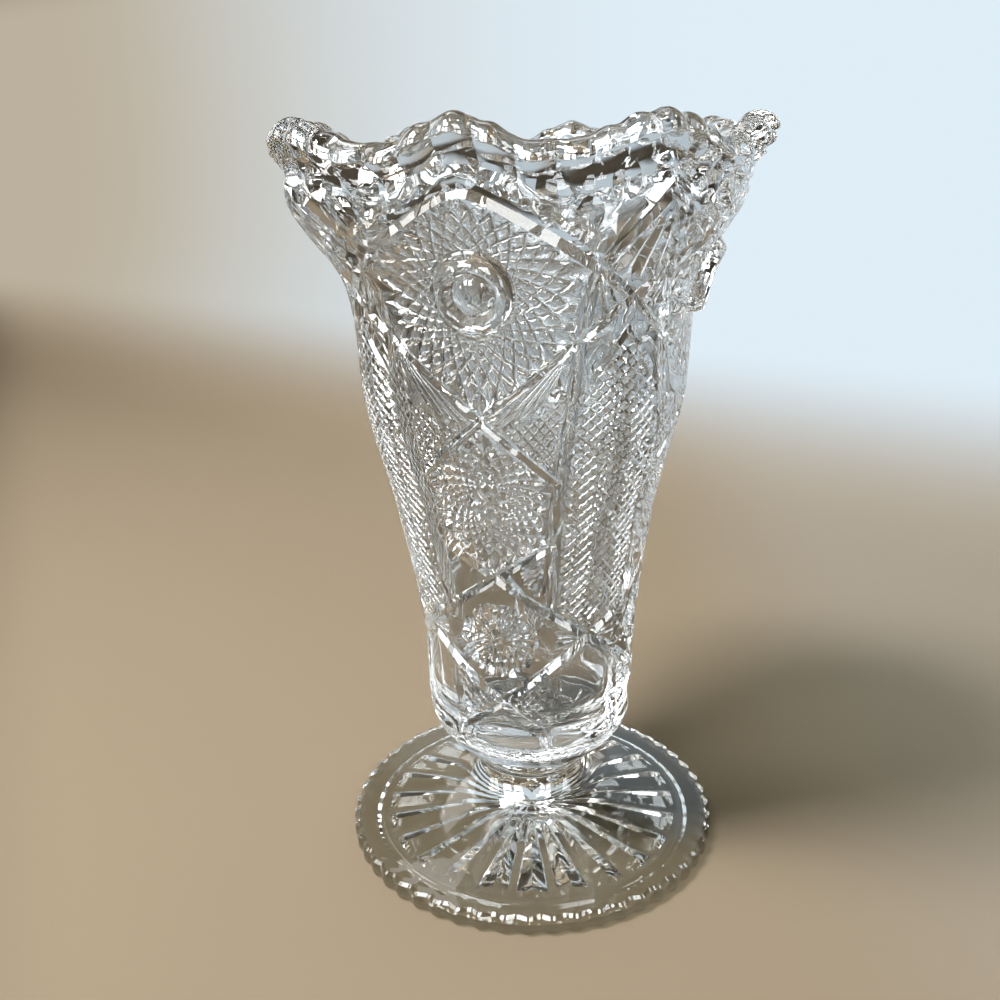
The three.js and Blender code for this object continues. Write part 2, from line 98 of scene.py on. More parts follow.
# Painted light and shade of the table and the wall, and their colours; the spans over which they change are
# in metres
WALL_PAINTED_LIGHT_SPAN = (-0.55, 0.0)
WALL_START_SPAN = (0.0, 0.05)
# Painted shade: past its top and its sides the wall is painted dark
WALL_TOP_SPAN = (0.25, 0.33)
WALL_MIDDLE = -0.3
WALL_SIDE_SPAN = (0.58, 0.7)
# Painted light: the wall is painted darker and browner at the left and bright pale blue at the right
WALL_LEFT_COLOR = (0.5, 0.44, 0.34)
WALL_RIGHT_COLOR = (0.74, 0.85, 0.93)
# painted shade of the wall past its top and sides
PAINTED_SHADE_COLOR = (0.075, 0.062, 0.045)
TABLE_COLOR = (0.56, 0.44, 0.3)
# Painted light: the table is painted lighter and greyer towards the right
TABLE_RIGHT_PAINTED_LIGHT_COLOR = (0.62, 0.53, 0.41)
TABLE_PAINTED_LIGHT_SPAN = (0.04, 0.12)
TABLE_ROUGHNESS = 0.9
POOL_SIDE_SPAN = (0.105, 0.2)  # the table is painted as in full light up to the first, and painted dim from the second on: a painted pool of light
POOL_FRONT_SPAN = (-0.16, -0.065)
POOL_WIDENING = 0.45  # how much wider the painted lit part grows with its distance from the front
PAINTED_POOL_SHADE = 0.3

# Glass of each piece: name, tint, least roughness, strength of its waves, and colour of its shade
BOWL_GLASS = ("pressed_clear_glass", (0.68, 0.69, 0.69, 1), 0.0, 0.15, (0.63, 0.65, 0.63, 1))
WAFER_GLASS = ("hot_worked_glass", (0.88, 0.885, 0.88, 1), 0.0, 0.1, (0.86, 0.87, 0.87, 1))
FOOT_GLASS = ("grey_green_glass", (0.9, 0.91, 0.895, 1), 0.02, 0.2, (0.72, 0.73, 0.7, 1))
WAVE_SCALE = 120.0
WAVE_HEIGHT = 0.0004
GRAIN_SCALE = 700.0
GRAIN_ROUGHNESS = 0.02

# Bowl: rises from station to station, and the radius at each
STATION_RISES = [0, 3.6, 6.2, 19.5, 27.5, 21, 23, 15.5, 13.9]
STATION_RADII = [11.6, 17.4, 21.3, 22.3, 26.6, 31.6, 34, 42, 45]
CORNER_SWELL = 1  # the pillars stand out from the round, and the panels lie in
CORNER_FLARE = 1.5
WALL = 4.6
LIP_THICKNESS = 5
LIP_FADE = 3  # the lip's own thickness is gone after one part in this many of the inner wall
FLOOR_THICKNESS = 11
FLOOR_ROUND = 8
SEAM = 0.3
SEAM_OVERLAP = 0.02

# Slow unevenness of the inner wall: waves round, millimetres up for one wave, and start in degrees
INNER_WAVE = 0.07
INNER_WAVES = [(7, 40, 0), (-11, 13, 0), (17, 21, 40)]
INNER_WAVE_TOP = 0.15  # shares of the wall over which the waves begin and end
INNER_WAVE_FOOT = 0.1

# Disc between bowl and foot
WAFER_FLAT_RADIUS = 6
WAFER_EDGE_ROUND = 1.4
WAFER_COLUMNS = 96
WAFER_EDGE_POINTS = 13

# Scalloped rim
SCALLOP_DEPTH = 4.4
SCALLOP_FLARE = 0.9
RIM_OVAL = 1.1
RIM_OVAL_ANGLE = 112
KNOB_DROP = 1.2
KNOB_WIDTH = 3.4
KNOB_FADE_SPAN = (13, 21)  # degrees from the middle of a panel
KNOBS_ROUND = 42
SIDE_KNOB = 0.8
SIDE_KNOB_WIDTH = 2.3
RIPPLE = 0.3
RIPPLE_SPAN = (26, 33)
RIPPLES_ROUND = 56
FLUTE_DEPTH = 1.7
FLUTE_START_SPAN = (1.6, 4.5)  # above the arches
FLUTE_CHANGE = 3 * CIRCLE / KNOBS_ROUND  # degrees; ridges of both sets of flutes meet here
PILLAR_FLUTES = 0.45  # depth of the pillars' flutes, as a share of the panels'
BEAD_HEIGHT = 3.4  # from the lip down to where the rim's bead begins to draw in
BEAD_INSIDE = 2.5  # how far the bead stands out on the inside
BEAD_ROUND = 3  # height of the bead's rounded top
BEAD_END = 0.09  # where the bead ends on the inside, as a share of the inner wall's height
NECK_DROP = 7.6  # from the lip down to the neck under the bead
NECK_DEPTH = 1.8
NECK_START_SPAN = (0.8, 4)  # above the arches

# Lines of the pattern, by their drop below the lip
ARCH_PEAK_DROP = 11.6
ARCH_FOOT_DROP = 23.7
ARCH_ROUND = 2.3
GABLE_PEAK_DROP = 12
UPPER_CROSSING_DROP = 50
MIDDLE_CROSSING_DROP = 81.8
LOWER_CROSSING_DROP = 109.1
PILLAR_PEAK_DROP = 34.5
PILLAR_PEAK_SLOPE = 0.72  # millimetres for a degree
PILLAR_PEAK_START = 34.8
MITRE_TOP_ANGLE = 33.2
MITRE_FOOT_ANGLE = 23
PAST = 3.0  # degrees that a line runs on past the middle of a panel or pillar, so that its cut closes there

# Half width and depth of the cuts along those lines
ARCH_CUT = (2.3, 1.3)
ARCH_CUT_BELOW = 1.1  # half width of its lower wall
GABLE_CUT = (0.9, 0.9)
UPPER_CUT = (0.85, 0.85)
PILLAR_PEAK_CUT = (0.75, 0.6)
MIDDLE_CUT = (0.95, 0.9)
LOWER_CUT = (1.1, 1.05)
MITRE_CUT = (0.8, 0.8)
MITRE_SHIFT = 0.9  # from the mitre towards the pillar
FINE_MITRE_CUT = (0.5, 0.42)
FINE_MITRE_SHIFT = -0.6

# Button and stars
BUTTON_DROP = 28.2
HOBSTAR_DROP = 66.2
HOBSTAR_RADIUS = 3.9
ROSETTE_RADIUS = 7
PETAL_MARGIN = 0.01
BUTTON_MARGIN = 0.005
POINT_RADIUS = 0.02  # of the smallest circle, in place of a point

# Small cells: height as a share of half a cell's size, and how flat its top is
DOMED_CELL = (0.85, 2)
FLAT_CELL = (0.55, 4)
CELL_EDGE_SPAN = (0, 0.7)
CELL_EDGE_SHARE = 0.35  # of a cell's grooves that is left at the edge of its field
FAN_EDGE_SPAN = (0, 0.5)

# Hollow facets above the heel, with an upright rib between them
FACET_DEPTH = 0.9
FACET_SPAN = (1.1, 3)  # below the lowest lines
FACET_HEEL_SPAN = (0.5, 4)  # above the heel
FACET_RIB_SHIFT = 1
FACET_RIB_SPAN = (0.5, 1.6)

# Mesh of the bowl: columns and rows, and steps and least distances between points in millimetres
RIM_COLUMNS = 42  # columns of the plain rows in one wedge
COLLAR_ROWS = 6
BEAD_ROWS = 15
INNER_ROWS = 40
INNER_SPACING = 1.4  # the rows of the inner wall lie closer near the lip
FLOOR_ROWS = 9
FLOOR_SHARES = (0.6, 0.3, 0)
SIDE_STEP = 1.2
ROW_STEP = 1.15
COLUMN_STEP = 2.2  # degrees
SCATTER_ROOM = 0.75
SCATTER_GAPS = (0.7, 0.8, 0.6)  # before the first points at a panel's middle, at the heel and at the lip
CELL_ROOM = 0.16
CELL_BESIDE = 0.31  # how far from a cell's middle its mesh has more points, in cells
FAN_REACH = (0.8, 60, 1.1)  # first, last and step
SNAP = 0.004
MERGE = 0.004
SINK_ROUNDS = 8
HALVINGS = 30
CREASE = 30
WAFER_CREASE = 50


def box_mm(node):
    low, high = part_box(node)
    return [v / MM for v in low], [v / MM for v in high]


BOWL_BASE = box_mm("bowl")[0][2]
STATIONS = BOWL_BASE + np.cumsum(STATION_RISES)
_, COLLAR, HEEL, WAIST, MIDDLE_STATION, _, SHOULDER, FLARE, LIP = STATIONS
LIP_START = LIP - BEAD_HEIGHT  # where the patterned face ends and the lip begins
FLOOR = BOWL_BASE + FLOOR_THICKNESS


def smooth_step(value, low, high):
    share = np.clip((value - low) / (high - low), 0, 1)
    return share * share * (3 - 2 * share)


def bowl_radius(height):
    """Outer radius before the rim is scalloped: a smooth curve through the stations."""
    radii = np.array(STATION_RADII, float)
    slopes = np.empty(len(radii))
    slopes[1:-1] = (radii[2:] - radii[:-2]) / (STATIONS[2:] - STATIONS[:-2])
    slopes[0] = (radii[1] - radii[0]) / (STATIONS[1] - STATIONS[0])
    slopes[-1] = (radii[-1] - radii[-2]) / (STATIONS[-1] - STATIONS[-2])
    h = np.clip(height, STATIONS[0], STATIONS[-1])
    i = np.clip(np.searchsorted(STATIONS, h), 1, len(radii) - 1)
    span = STATIONS[i] - STATIONS[i - 1]
    s = (h - STATIONS[i - 1]) / span
    return (
        (2 * s**3 - 3 * s**2 + 1) * radii[i - 1]
        + (s**3 - 2 * s**2 + s) * span * slopes[i - 1]
        + (3 * s**2 - 2 * s**3) * radii[i]
        + (s**3 - s**2) * span * slopes[i]
    )


def from_panel(angle):
    """Angle from the middle of the nearest panel, 0 to 45."""
    return np.abs((np.asarray(angle) + WEDGE) % PANEL - WEDGE)


def knobs(angle):
    """How far the small knobs of the rim lie below the plain scallops."""
    a = from_panel(angle)
    middle = KNOB_DROP * (1 - np.exp(-((a / KNOB_WIDTH) ** 2)))
    side = SIDE_KNOB * np.exp(-(((a - CIRCLE / KNOBS_ROUND) / SIDE_KNOB_WIDTH) ** 2))
    ripple = RIPPLE * (1 - np.cos(np.radians(RIPPLES_ROUND * (WEDGE - a))))
    return (1 - smooth_step(a, *KNOB_FADE_SPAN)) * (middle - side) + smooth_step(a, *RIPPLE_SPAN) * ripple


def corner_reach(height):
    flare = smooth_step(height, SHOULDER, FLARE) - smooth_step(height, FLARE, LIP)
    return CORNER_SWELL * smooth_step(height, WAIST, MIDDLE_STATION) + CORNER_FLARE * flare


def rim_change(angle, height):
    """How far the face sinks and swells at this angle and at this height before the scallops."""
    angle = np.asarray(angle)
    strength = smooth_step(height, SHOULDER, LIP)
    lobe = np.cos(np.radians(angle * 2 * PANELS))
    oval = np.cos(np.radians(2 * (angle - RIM_OVAL_ANGLE)))
    corner = -np.cos(np.radians(angle * PANELS))
    sink = SCALLOP_DEPTH * (1 - lobe) / 2 * strength + knobs(angle) * strength**3
    return sink, strength * (SCALLOP_FLARE * lobe + RIM_OVAL * oval) + corner * corner_reach(height)


def face_point(angle, height, inset=0.0, lift=0.0):
    """Point of the outer face; height is the one it has before the scallops sink it."""
    sink, swell = rim_change(angle, height)
    radius = bowl_radius(height) + swell - inset
    turn = np.radians(angle)
    return np.stack([radius * np.sin(turn), -radius * np.cos(turn), height - sink + lift], axis=-1)


def face_normal(angle, height, step=0.4):
    across = face_point(angle + step, height) - face_point(angle - step, height)
    up = face_point(angle, height + step) - face_point(angle, height - step)
    out = np.cross(across, up)
    return out / np.linalg.norm(out, axis=-1, keepdims=True)


def unsunk(angle, height):
    """Height before the scallops, for a point whose real height is given."""
    h = np.asarray(height, float)
    for _ in range(SINK_ROUNDS):
        h = height + rim_change(angle, h)[0]
    return h


def degree_length(height):
    """Length of one degree round the outer face, in millimetres."""
    return np.radians(bowl_radius(height))


# Lines of the pattern, as heights over the angle from the middle of a panel
ARCH_PEAK = LIP - ARCH_PEAK_DROP
ARCH_FOOT = LIP - ARCH_FOOT_DROP
UPPER = LIP - UPPER_CROSSING_DROP
MIDDLE = LIP - MIDDLE_CROSSING_DROP
LOWER = LIP - LOWER_CROSSING_DROP
BUTTON = LIP - BUTTON_DROP
HOBSTAR = LIP - HOBSTAR_DROP
ROSETTE = (MIDDLE + LOWER) / 2
UPPER_SLOPE = (ARCH_FOOT - UPPER) / (PANEL - MITRE_TOP_ANGLE)
LOWER_SLOPE = (MIDDLE - LOWER) / PANEL
PILLAR_PEAK = LIP - PILLAR_PEAK_DROP
GABLE_SLOPE = (LIP - GABLE_PEAK_DROP - ARCH_FOOT) / (WEDGE - MITRE_TOP_ANGLE)


def arch_height(angle):
    fall = ARCH_PEAK - ARCH_FOOT + ARCH_ROUND
    straight = math.sqrt(fall * fall - ARCH_ROUND**2)
    return ARCH_PEAK + ARCH_ROUND - np.hypot(straight * angle / MITRE_TOP_ANGLE, ARCH_ROUND)


def slanting(start, slope, foot=0):
    """A straight line of the pattern: height over angle, from this height at the angle of its foot."""
    return lambda angle: start + slope * (angle - foot)


gable_height = slanting(ARCH_FOOT, GABLE_SLOPE, MITRE_TOP_ANGLE)
upper_rising = slanting(UPPER, UPPER_SLOPE)
upper_falling = slanting(UPPER, -UPPER_SLOPE)
upper_crossed = slanting(UPPER, -UPPER_SLOPE, PANEL)
middle_rising = slanting(MIDDLE, LOWER_SLOPE)
middle_falling = slanting(MIDDLE, -LOWER_SLOPE)
lower_rising = slanting(LOWER, LOWER_SLOPE)
lower_falling = slanting(LOWER, -LOWER_SLOPE)


def pillar_peak(angle):
    return PILLAR_PEAK - PILLAR_PEAK_SLOPE * np.abs(WEDGE - angle)


def mitre_angle(height):
    share = (height - HEEL) / (ARCH_FOOT - HEEL)
    return MITRE_FOOT_ANGLE + (MITRE_TOP_ANGLE - MITRE_FOOT_ANGLE) * share**3


def meeting(line, low, high):
    """Height between two heights at which a line of the pattern meets the mitre."""
    for _ in range(HALVINGS):
        height = (low + high) / 2
        if line(mitre_angle(height)) > height:
            low = height
        else:
            high = height
    return height


MITRE_FOOT = meeting(middle_falling, LOWER, MIDDLE)
FAN_FOOT = meeting(upper_falling, MIDDLE, UPPER)


class Cut:
    """A V cut along a line of [angle, height] points; below a line, its wall may be narrower."""

    def __init__(self, points, half_width, depth, line=None, below=None):
        self.points = np.asarray(points, float)
        self.half_width = half_width
        self.depth = depth
        self.line = line
        self.below = below

    def depth_at(self, angle, height):
        distance = distance_to(angle, height, self.points)
        reach = self.half_width
        if self.line:
            reach = np.where(height < self.line(angle), self.below, self.half_width)
        return self.depth * np.clip(1 - distance / reach, 0, 1)

    def shoulders(self):
        """The line itself and the two edges of the cut."""
        scale = degree_length(self.points[:, 1])
        flat = self.points * np.stack([scale, np.ones_like(scale)], axis=1)
        along = np.gradient(flat, axis=0)
        along /= np.linalg.norm(along, axis=1, keepdims=True)
        side = np.stack([-along[:, 1] / scale, along[:, 0]], axis=1)
        for shift in (0, self.half_width, -(self.below or self.half_width)):
            yield self.points + shift * side


def distance_to(angle, height, line, closed=False):
    """Least distance on the face from each point to a line of [angle, height] points."""
    scale = degree_length(height)
    points = np.stack([angle * scale, height], axis=-1)[:, None, :]
    starts = line[:, None, :] if closed else line[:-1, None, :]
    ends = np.roll(line, -1, axis=0)[:, None, :] if closed else line[1:, None, :]

    def scaled(ends_of):
        flat = np.repeat(ends_of.transpose(1, 0, 2), len(scale), axis=0).copy()
        flat[:, :, 0] *= scale[:, None]
        return flat

    a, b = scaled(starts), scaled(ends)
    step = b - a
    share = np.sum((points - a) * step, axis=-1) / np.maximum(np.sum(step * step, axis=-1), 1e-9)
    nearest = a + np.clip(share, 0, 1)[..., None] * step
    return np.min(np.linalg.norm(points - nearest, axis=-1), axis=1)


def along_angle(line, start, end, step=1.6):
    angles = np.linspace(start, end, max(2, math.ceil(abs(end - start) / step) + 1))
    return np.stack([angles, line(angles)], axis=1)


def along_mitre(low, high, shift=0.0, step=1.3):
    heights = np.linspace(low, high, math.ceil((high - low) / step) + 1)
    return np.stack([mitre_angle(heights) + shift / degree_length(heights), heights], axis=1)


CUTS = [
    Cut(along_angle(arch_height, -PAST, MITRE_TOP_ANGLE), *ARCH_CUT, arch_height, ARCH_CUT_BELOW),
    Cut(along_angle(gable_height, MITRE_TOP_ANGLE, WEDGE), *GABLE_CUT),
    Cut(along_angle(upper_rising, 0, WEDGE + PAST), *UPPER_CUT),
    Cut(along_angle(upper_falling, 0, mitre_angle(FAN_FOOT)), *UPPER_CUT),
    Cut(along_angle(upper_crossed, MITRE_TOP_ANGLE, WEDGE), *UPPER_CUT),
    Cut(along_angle(pillar_peak, PILLAR_PEAK_START, WEDGE), *PILLAR_PEAK_CUT),
    Cut(along_angle(middle_falling, 0, WEDGE + PAST), *MIDDLE_CUT),
    Cut(along_angle(middle_rising, 0, mitre_angle(MIDDLE)), *MIDDLE_CUT),
    Cut(along_angle(lower_rising, 0, WEDGE), *LOWER_CUT),
    Cut(along_angle(lower_falling, 0, MITRE_FOOT_ANGLE), *LOWER_CUT),
    Cut(along_mitre(MITRE_FOOT, ARCH_FOOT, MITRE_SHIFT), *MITRE_CUT),
    Cut(along_mitre(MITRE_FOOT, ARCH_FOOT, FINE_MITRE_SHIFT), *FINE_MITRE_CUT),
]


def inside(angle, height, outline):
    """Whether each point lies within an outline of [angle, height] points."""
    found = np.zeros(len(angle), bool)
    for (x1, y1), (x2, y2) in zip(outline, np.roll(outline, -1, axis=0)):
        crosses = (y1 > height) != (y2 > height)
        with np.errstate(divide="ignore", invalid="ignore"):
            at = x1 + (height - y1) * (x2 - x1) / (y2 - y1)
        found ^= crosses & (angle < at)
    return found


class Mark:
    """A form of the pattern round a point of the face, with polar coordinates: millimetres and radians."""

    def __init__(self, angle, height):
        self.angle = angle
        self.height = height
        self.scale = float(degree_length(height))

    def polar(self, angle, height):
        """Distance from the point, and turn from straight down."""
        x = (angle - self.angle) * self.scale
        y = height - self.height
        return np.hypot(x, y), np.arctan2(x, -y)

    def at(self, radius, turn):
        angle = self.angle + radius * np.sin(turn) / self.scale
        return np.stack([angle, self.height - radius * np.cos(turn)], axis=-1)

    def circle(self, radius, steps):
        return self.at(radius, np.radians(np.linspace(0, CIRCLE, steps + 1)))

    def holds(self, angle, height, margin=0.0):
        return self.polar(angle, height)[0] < self.radius + margin


class Spiral(Mark):
    """Cells between two sets of spirals that wind out from a centre on the panel's middle line."""

    def __init__(self, height, arms, start, stretch, growth):
        super().__init__(0, height)
        self.arms = arms
        self.unit = arms / (2 * math.pi)
        self.start = start
        self.stretch = stretch
        self.growth = growth

    def winding(self, radius):
        """How far the spirals have turned at this radius, and how steeply they cross it."""
        out = np.log(np.maximum(radius, 1e-6) / self.start)
        steep = np.sqrt(np.maximum(self.stretch**2 + 4 * self.growth * out, 1e-6))
        return (steep - self.stretch) / (2 * self.growth), steep

    def coordinates(self, angle, height):
        radius, turn = self.polar(angle, height)
        reach, _ = self.winding(radius)
        return self.unit * (turn + reach), self.unit * (turn - reach)

    def place(self, p, q):
        turn = (p + q) / 2 / self.unit
        reach = (p - q) / 2 / self.unit
        return self.at(self.start * np.exp(self.stretch * reach + self.growth * reach**2), turn)

    def half_size(self, angle, height):
        radius, _ = self.polar(angle, height)
        width = 2 * math.pi * radius / self.arms
        tall = width * self.winding(radius)[1]
        return width * tall / np.hypot(width, tall) / 2

    def span(self, outline):
        angle, height = np.array(outline).T
        sides = np.concatenate([angle, -angle]), np.concatenate([height, height])
        return range_over(self.coordinates(*sides), self.arms // 2)


class Lattice:
    """Diamond cells in slanting rows; their width is an angle, so they grow with the bowl."""

    def __init__(self, width, tall, start):
        self.width = width
        self.tall = tall
        self.start = start

    def coordinates(self, angle, height):
        across = angle / self.width
        up = (height - self.start) / self.tall
        return across + up, across - up

    def place(self, p, q):
        return np.stack([(p + q) / 2 * self.width, self.start + (p - q) / 2 * self.tall], axis=-1)

    def half_size(self, angle, height):
        width = self.width * degree_length(height)
        return width * self.tall / np.hypot(width, self.tall) / 2

    def span(self, outline):
        return range_over(self.coordinates(*np.array(outline).T), 1)


def range_over(coordinates, more):
    reach = math.ceil(max(np.abs(c).max() for c in coordinates)) + more
    return range(-reach, reach + 1)


class Print(Mark):
    """Hollow oval print, with a crisp edge."""

    def __init__(self, angle, height, half_width, half_height, depth):
        super().__init__(angle, height)
        self.half_width = half_width
        self.half_height = half_height
        self.depth = depth

    def depth_at(self, angle, height):
        x = (angle - self.angle) * self.scale / self.half_width
        y = (height - self.height) / self.half_height
        return self.depth * np.clip(1 - x * x - y * y, 0, None)

    def draw(self, sketch):
        turn = np.radians(np.linspace(0, CIRCLE, 25))
        for share in (1, 0.7, 0.4):
            angle = self.angle + share * self.half_width * np.sin(turn) / self.scale
            sketch.line(np.stack([angle, self.height + share * self.half_height * np.cos(turn)], axis=1))


class Field:
    """A region of the pattern that is filled with small raised cells."""

    def __init__(self, outline, cells, form, keep_off=None):
        self.outline = np.array(outline)
        self.cells = cells
        self.rise, self.flatness = form
        self.keep_off = keep_off

    def holds(self, angle, height):
        found = inside(angle, height, self.outline)
        if self.keep_off:
            middle, radius = self.keep_off
            found &= np.hypot(angle * degree_length(middle), height - middle) > radius
        return found

    def depth_at(self, angle, height):
        p, q = self.cells.coordinates(angle, height)
        across, along = np.abs(2 * (p % 1) - 1), np.abs(2 * (q % 1) - 1)
        dome = (1 - across**self.flatness) * (1 - along**self.flatness)
        edge = distance_to(angle, height, self.outline, closed=True)
        fade = CELL_EDGE_SHARE + (1 - CELL_EDGE_SHARE) * smooth_step(edge, *CELL_EDGE_SPAN)
        return self.rise * self.cells.half_size(angle, height) * (1 - dome) * fade

    def draw(self, sketch):
        span = self.cells.span(self.outline)
        halves = np.arange(span[0], span[-1] + 1, 0.5)
        for fixed in span:
            still = np.full(len(halves), float(fixed))
            for p, q in ((still, halves), (halves, still)):
                sketch.line(self.cells.place(p, q), self.holds)
        middles = np.arange(span[0], span[-1] + 1) + 0.5
        p, q = (v.ravel() for v in np.meshgrid(middles, middles))
        for dp in (0, -CELL_BESIDE, CELL_BESIDE):
            for dq in (0, -CELL_BESIDE, CELL_BESIDE):
                sketch.scatter(self.cells.place(p + dp, q + dq), self.holds, CELL_ROOM)


class Fan(Mark):
    """Flutes that draw together towards an apex, between two turns in degrees."""

    def __init__(self, outline, apex, count, first, last, rise):
        super().__init__(*apex)
        self.outline = np.array(outline)
        self.count = count
        self.first = first
        self.last = last
        self.rise = rise

    def holds(self, angle, height):
        return inside(angle, height, self.outline)

    def depth_at(self, angle, height):
        radius, turn = self.polar(angle, height)
        across = 2 * (((np.degrees(turn) - self.first) / (self.last - self.first) * self.count) % 1) - 1
        half = radius * abs(math.radians(self.last - self.first)) / self.count / 2
        edge = distance_to(angle, height, self.outline, closed=True)
        return self.rise * half * across**2 * smooth_step(edge, *FAN_EDGE_SPAN)

    def draw(self, sketch):
        reach = np.arange(*FAN_REACH)
        for part in range(4 * self.count + 1):
            turn = math.radians(self.first + (self.last - self.first) * part / (4 * self.count))
            sketch.line(self.at(reach, turn), self.holds)


class Rosette(Mark):
    """Rings of petals round a smooth middle, on the panel's middle line."""

    def __init__(self, height, rings, middle, dome):
        super().__init__(0, height)
        self.rings = rings  # inner radius, outer radius, petals, depth of the grooves
        self.middle = middle
        self.dome = dome
        self.radius = max(ring[1] for ring in rings)

    def near(self, angle, height):
        return self.holds(angle, height, PETAL_MARGIN)

    def depth_at(self, angle, height):
        radius, turn = self.polar(angle, height)
        depth = self.dome * (radius / self.middle) ** 2
        for inner, outer, petals, groove in self.rings:
            across = 2 * ((np.degrees(turn) * petals / CIRCLE) % 1) - 1
            along = 2 * (radius - inner) / (outer - inner) - 1
            petal = groove * (1 - (1 - across**2) * (1 - along**2))
            depth = np.where(radius > inner, petal, depth)
        return depth

    def draw(self, sketch):
        for share in (0.001, 0.5):
            sketch.line(self.circle(share * self.middle, 8), self.near)
        for inner, outer, petals, _ in self.rings:
            for share in (0, 0.3, 0.7, 1):
                sketch.line(self.circle(inner + (outer - inner) * share, 4 * petals), self.near)
            for part in range(4 * petals):
                turn = math.radians(CIRCLE * part / (4 * petals))
                sketch.line(self.at(np.linspace(inner, outer, 4), turn), self.near)


class Button(Mark):
    """Raised button: a rounded ring round a lens. Radii and heights of its section, from the middle out."""

    SECTION = [
        (0, 1.8), (1.0, 1.7), (2.0, 1.35), (2.8, 0.85), (3.4, 0.2), (3.7, -0.1), (4.0, 0.5), (4.4, 1.3),
        (4.9, 1.9), (5.4, 2.1), (5.9, 1.9), (6.3, 1.35), (6.6, 0.6), (6.85, -0.2), (7.2, -0.5), (7.6, 0),
    ]

    radius = SECTION[-1][0] + BUTTON_MARGIN

    def depth_at(self, angle, height):
        radii, rises = zip(*self.SECTION)
        return -np.interp(self.polar(angle, height)[0], radii, rises)

    def draw(self, sketch):
        for radius, _ in self.SECTION:
            sketch.line(self.circle(max(radius, POINT_RADIUS), 8 if radius < 1 else 40), self.holds)


def shifted(line, start, end, shift, count=9):
    """Points of a line of the pattern, moved up or down the face by this much."""
    angles = np.linspace(start, end, count)
    return [(a, float(line(a)) + shift) for a in angles]


def mitre_side(low, high, shift, count=9):
    """Points beside the mitre, from one height to another."""
    return [(float(mitre_angle(h) + shift / degree_length(h)), h) for h in np.linspace(low, high, count)]


PANEL_SIDE = -1.3  # how far the panels' fields end short of the mitre, in millimetres
PILLAR_SIDE = 2.0

button_field = Field(
    shifted(upper_rising, 0, 28.6, 1.1)
    + mitre_side(114.8, 124.6, PANEL_SIDE - 0.9, 5)
    + shifted(arch_height, 29.5, 0, -1.5),
    Spiral(BUTTON, 30, 6.8, 1.05, 0.55),
    FLAT_CELL,
    (BUTTON, Button.SECTION[-1][0]),
)
middle_field = Field(
    shifted(upper_falling, 0, 23.6, -1.2)
    + mitre_side(87.6, 77.6, PANEL_SIDE, 5)
    + shifted(middle_rising, 22.5, 0, 1.2),
    Spiral(HOBSTAR, 24, HOBSTAR_RADIUS, 1.0, 0.2),
    DOMED_CELL,
    (HOBSTAR, HOBSTAR_RADIUS + 0.1),
)
fan_cells = Field([(7, 97.9), (23.6, 90.4), (25.6, 103.2)], Lattice(3.4, 2.3, UPPER), FLAT_CELL)
fan_flutes = Fan(
    [(1.8, 100.2), (6.2, 98.7), (26.3, 104.6), (27.3, 111.8)],
    (29.6, 113.4), 7, -58, -28, 0.75,
)
side_flutes = Fan(
    [(34.5, 124.6), (33.6, 116.8), (43.4, 121.0)],
    (33.6, 127.2), 4, 0, 58, 0.7,
)
gable_flutes = Fan(
    [(35.6, 126.6), (WEDGE + 1, 136.2), (WEDGE + 1, 123.4)],
    (WEDGE, 139.6), 5, -34, 34, 0.6,
)
corner_flutes = Fan(
    [(27, 57.6), (42.6, 54.6), (27, 51.6)],
    (WEDGE, 54.6), 5, -122, -58, 0.5,
)
pillar_field = Field(
    mitre_side(64.5, 106.0, PILLAR_SIDE, 12)
    + shifted(pillar_peak, 36.5, WEDGE, -1.3, 4)
    + [(WEDGE + 1, PILLAR_PEAK - 1.3)]
    + shifted(middle_falling, WEDGE + 1, 26.5, 1.3, 5),
    Lattice(4.5, 2.1, 61.6),
    FLAT_CELL,
)
facet_cells = Field([(3.6, LOWER), (22.3, 46.3), (22.3, 35.5)], Lattice(4.6, 2.0, LOWER), FLAT_CELL)
hobstar = Rosette(HOBSTAR, [(1.5, HOBSTAR_RADIUS, 8, 0.8)], 1.5, 0.3)
rosette = Rosette(ROSETTE, [(2.3, 4.4, 20, 0.75), (4.4, ROSETTE_RADIUS, 20, 1.25)], 2.3, 0.4)
button = Button(0, BUTTON)

PRINTS = [
    Print(20.6, 137.2, 2.7, 5.0, 1.4),
    Print(28.6, 133.6, 2.3, 3.6, 1.1),
    Print(35.6, 139.4, 2.3, 3.6, 1.1),
    Print(39.4, 114.6, 2.5, 1.7, 0.5),
]
FIELDS = [
    button_field, middle_field, fan_cells, fan_flutes, side_flutes, gable_flutes, corner_flutes,
    pillar_field, facet_cells,
]
ROUNDS = [hobstar, rosette, button]


def above_arch(angle, height):
    return height - np.where(angle < MITRE_TOP_ANGLE, arch_height(angle), gable_height(angle))


def lobes(angle, count):
    """Depth of rounded upright flutes with sharp valleys between them, this many round the bowl."""
    return FLUTE_DEPTH * (1 - np.abs(np.cos(np.radians(angle * count / 2))))


def flutes(angle):
    """Depth of the upright flutes under the knobs of the rim."""
    a = from_panel(angle)
    pillar = PILLAR_FLUTES * lobes(WEDGE - a, RIPPLES_ROUND)
    return np.where(a < FLUTE_CHANGE, lobes(a, KNOBS_ROUND), pillar)


def flute_valleys():
    """Angles of the valleys between the flutes of one wedge."""
    panel = [CIRCLE / KNOBS_ROUND * (i + 0.5) for i in range(3)]
    return panel + [WEDGE - CIRCLE / RIPPLES_ROUND * (i + 0.5) for i in range(3)]


def rim_relief(angle, height):
    """Flutes between the arches and the lip, the neck under the rim's bead, and the hollow prints."""
    above = above_arch(angle, height)
    below = LIP - unsunk(angle, height)
    neck = NECK_DEPTH * smooth_step(below, BEAD_HEIGHT, NECK_DROP) * smooth_step(above, *NECK_START_SPAN)
    fluting = flutes(angle) * smooth_step(above, *FLUTE_START_SPAN)
    return fluting + neck + sum(p.depth_at(angle, height) for p in PRINTS)


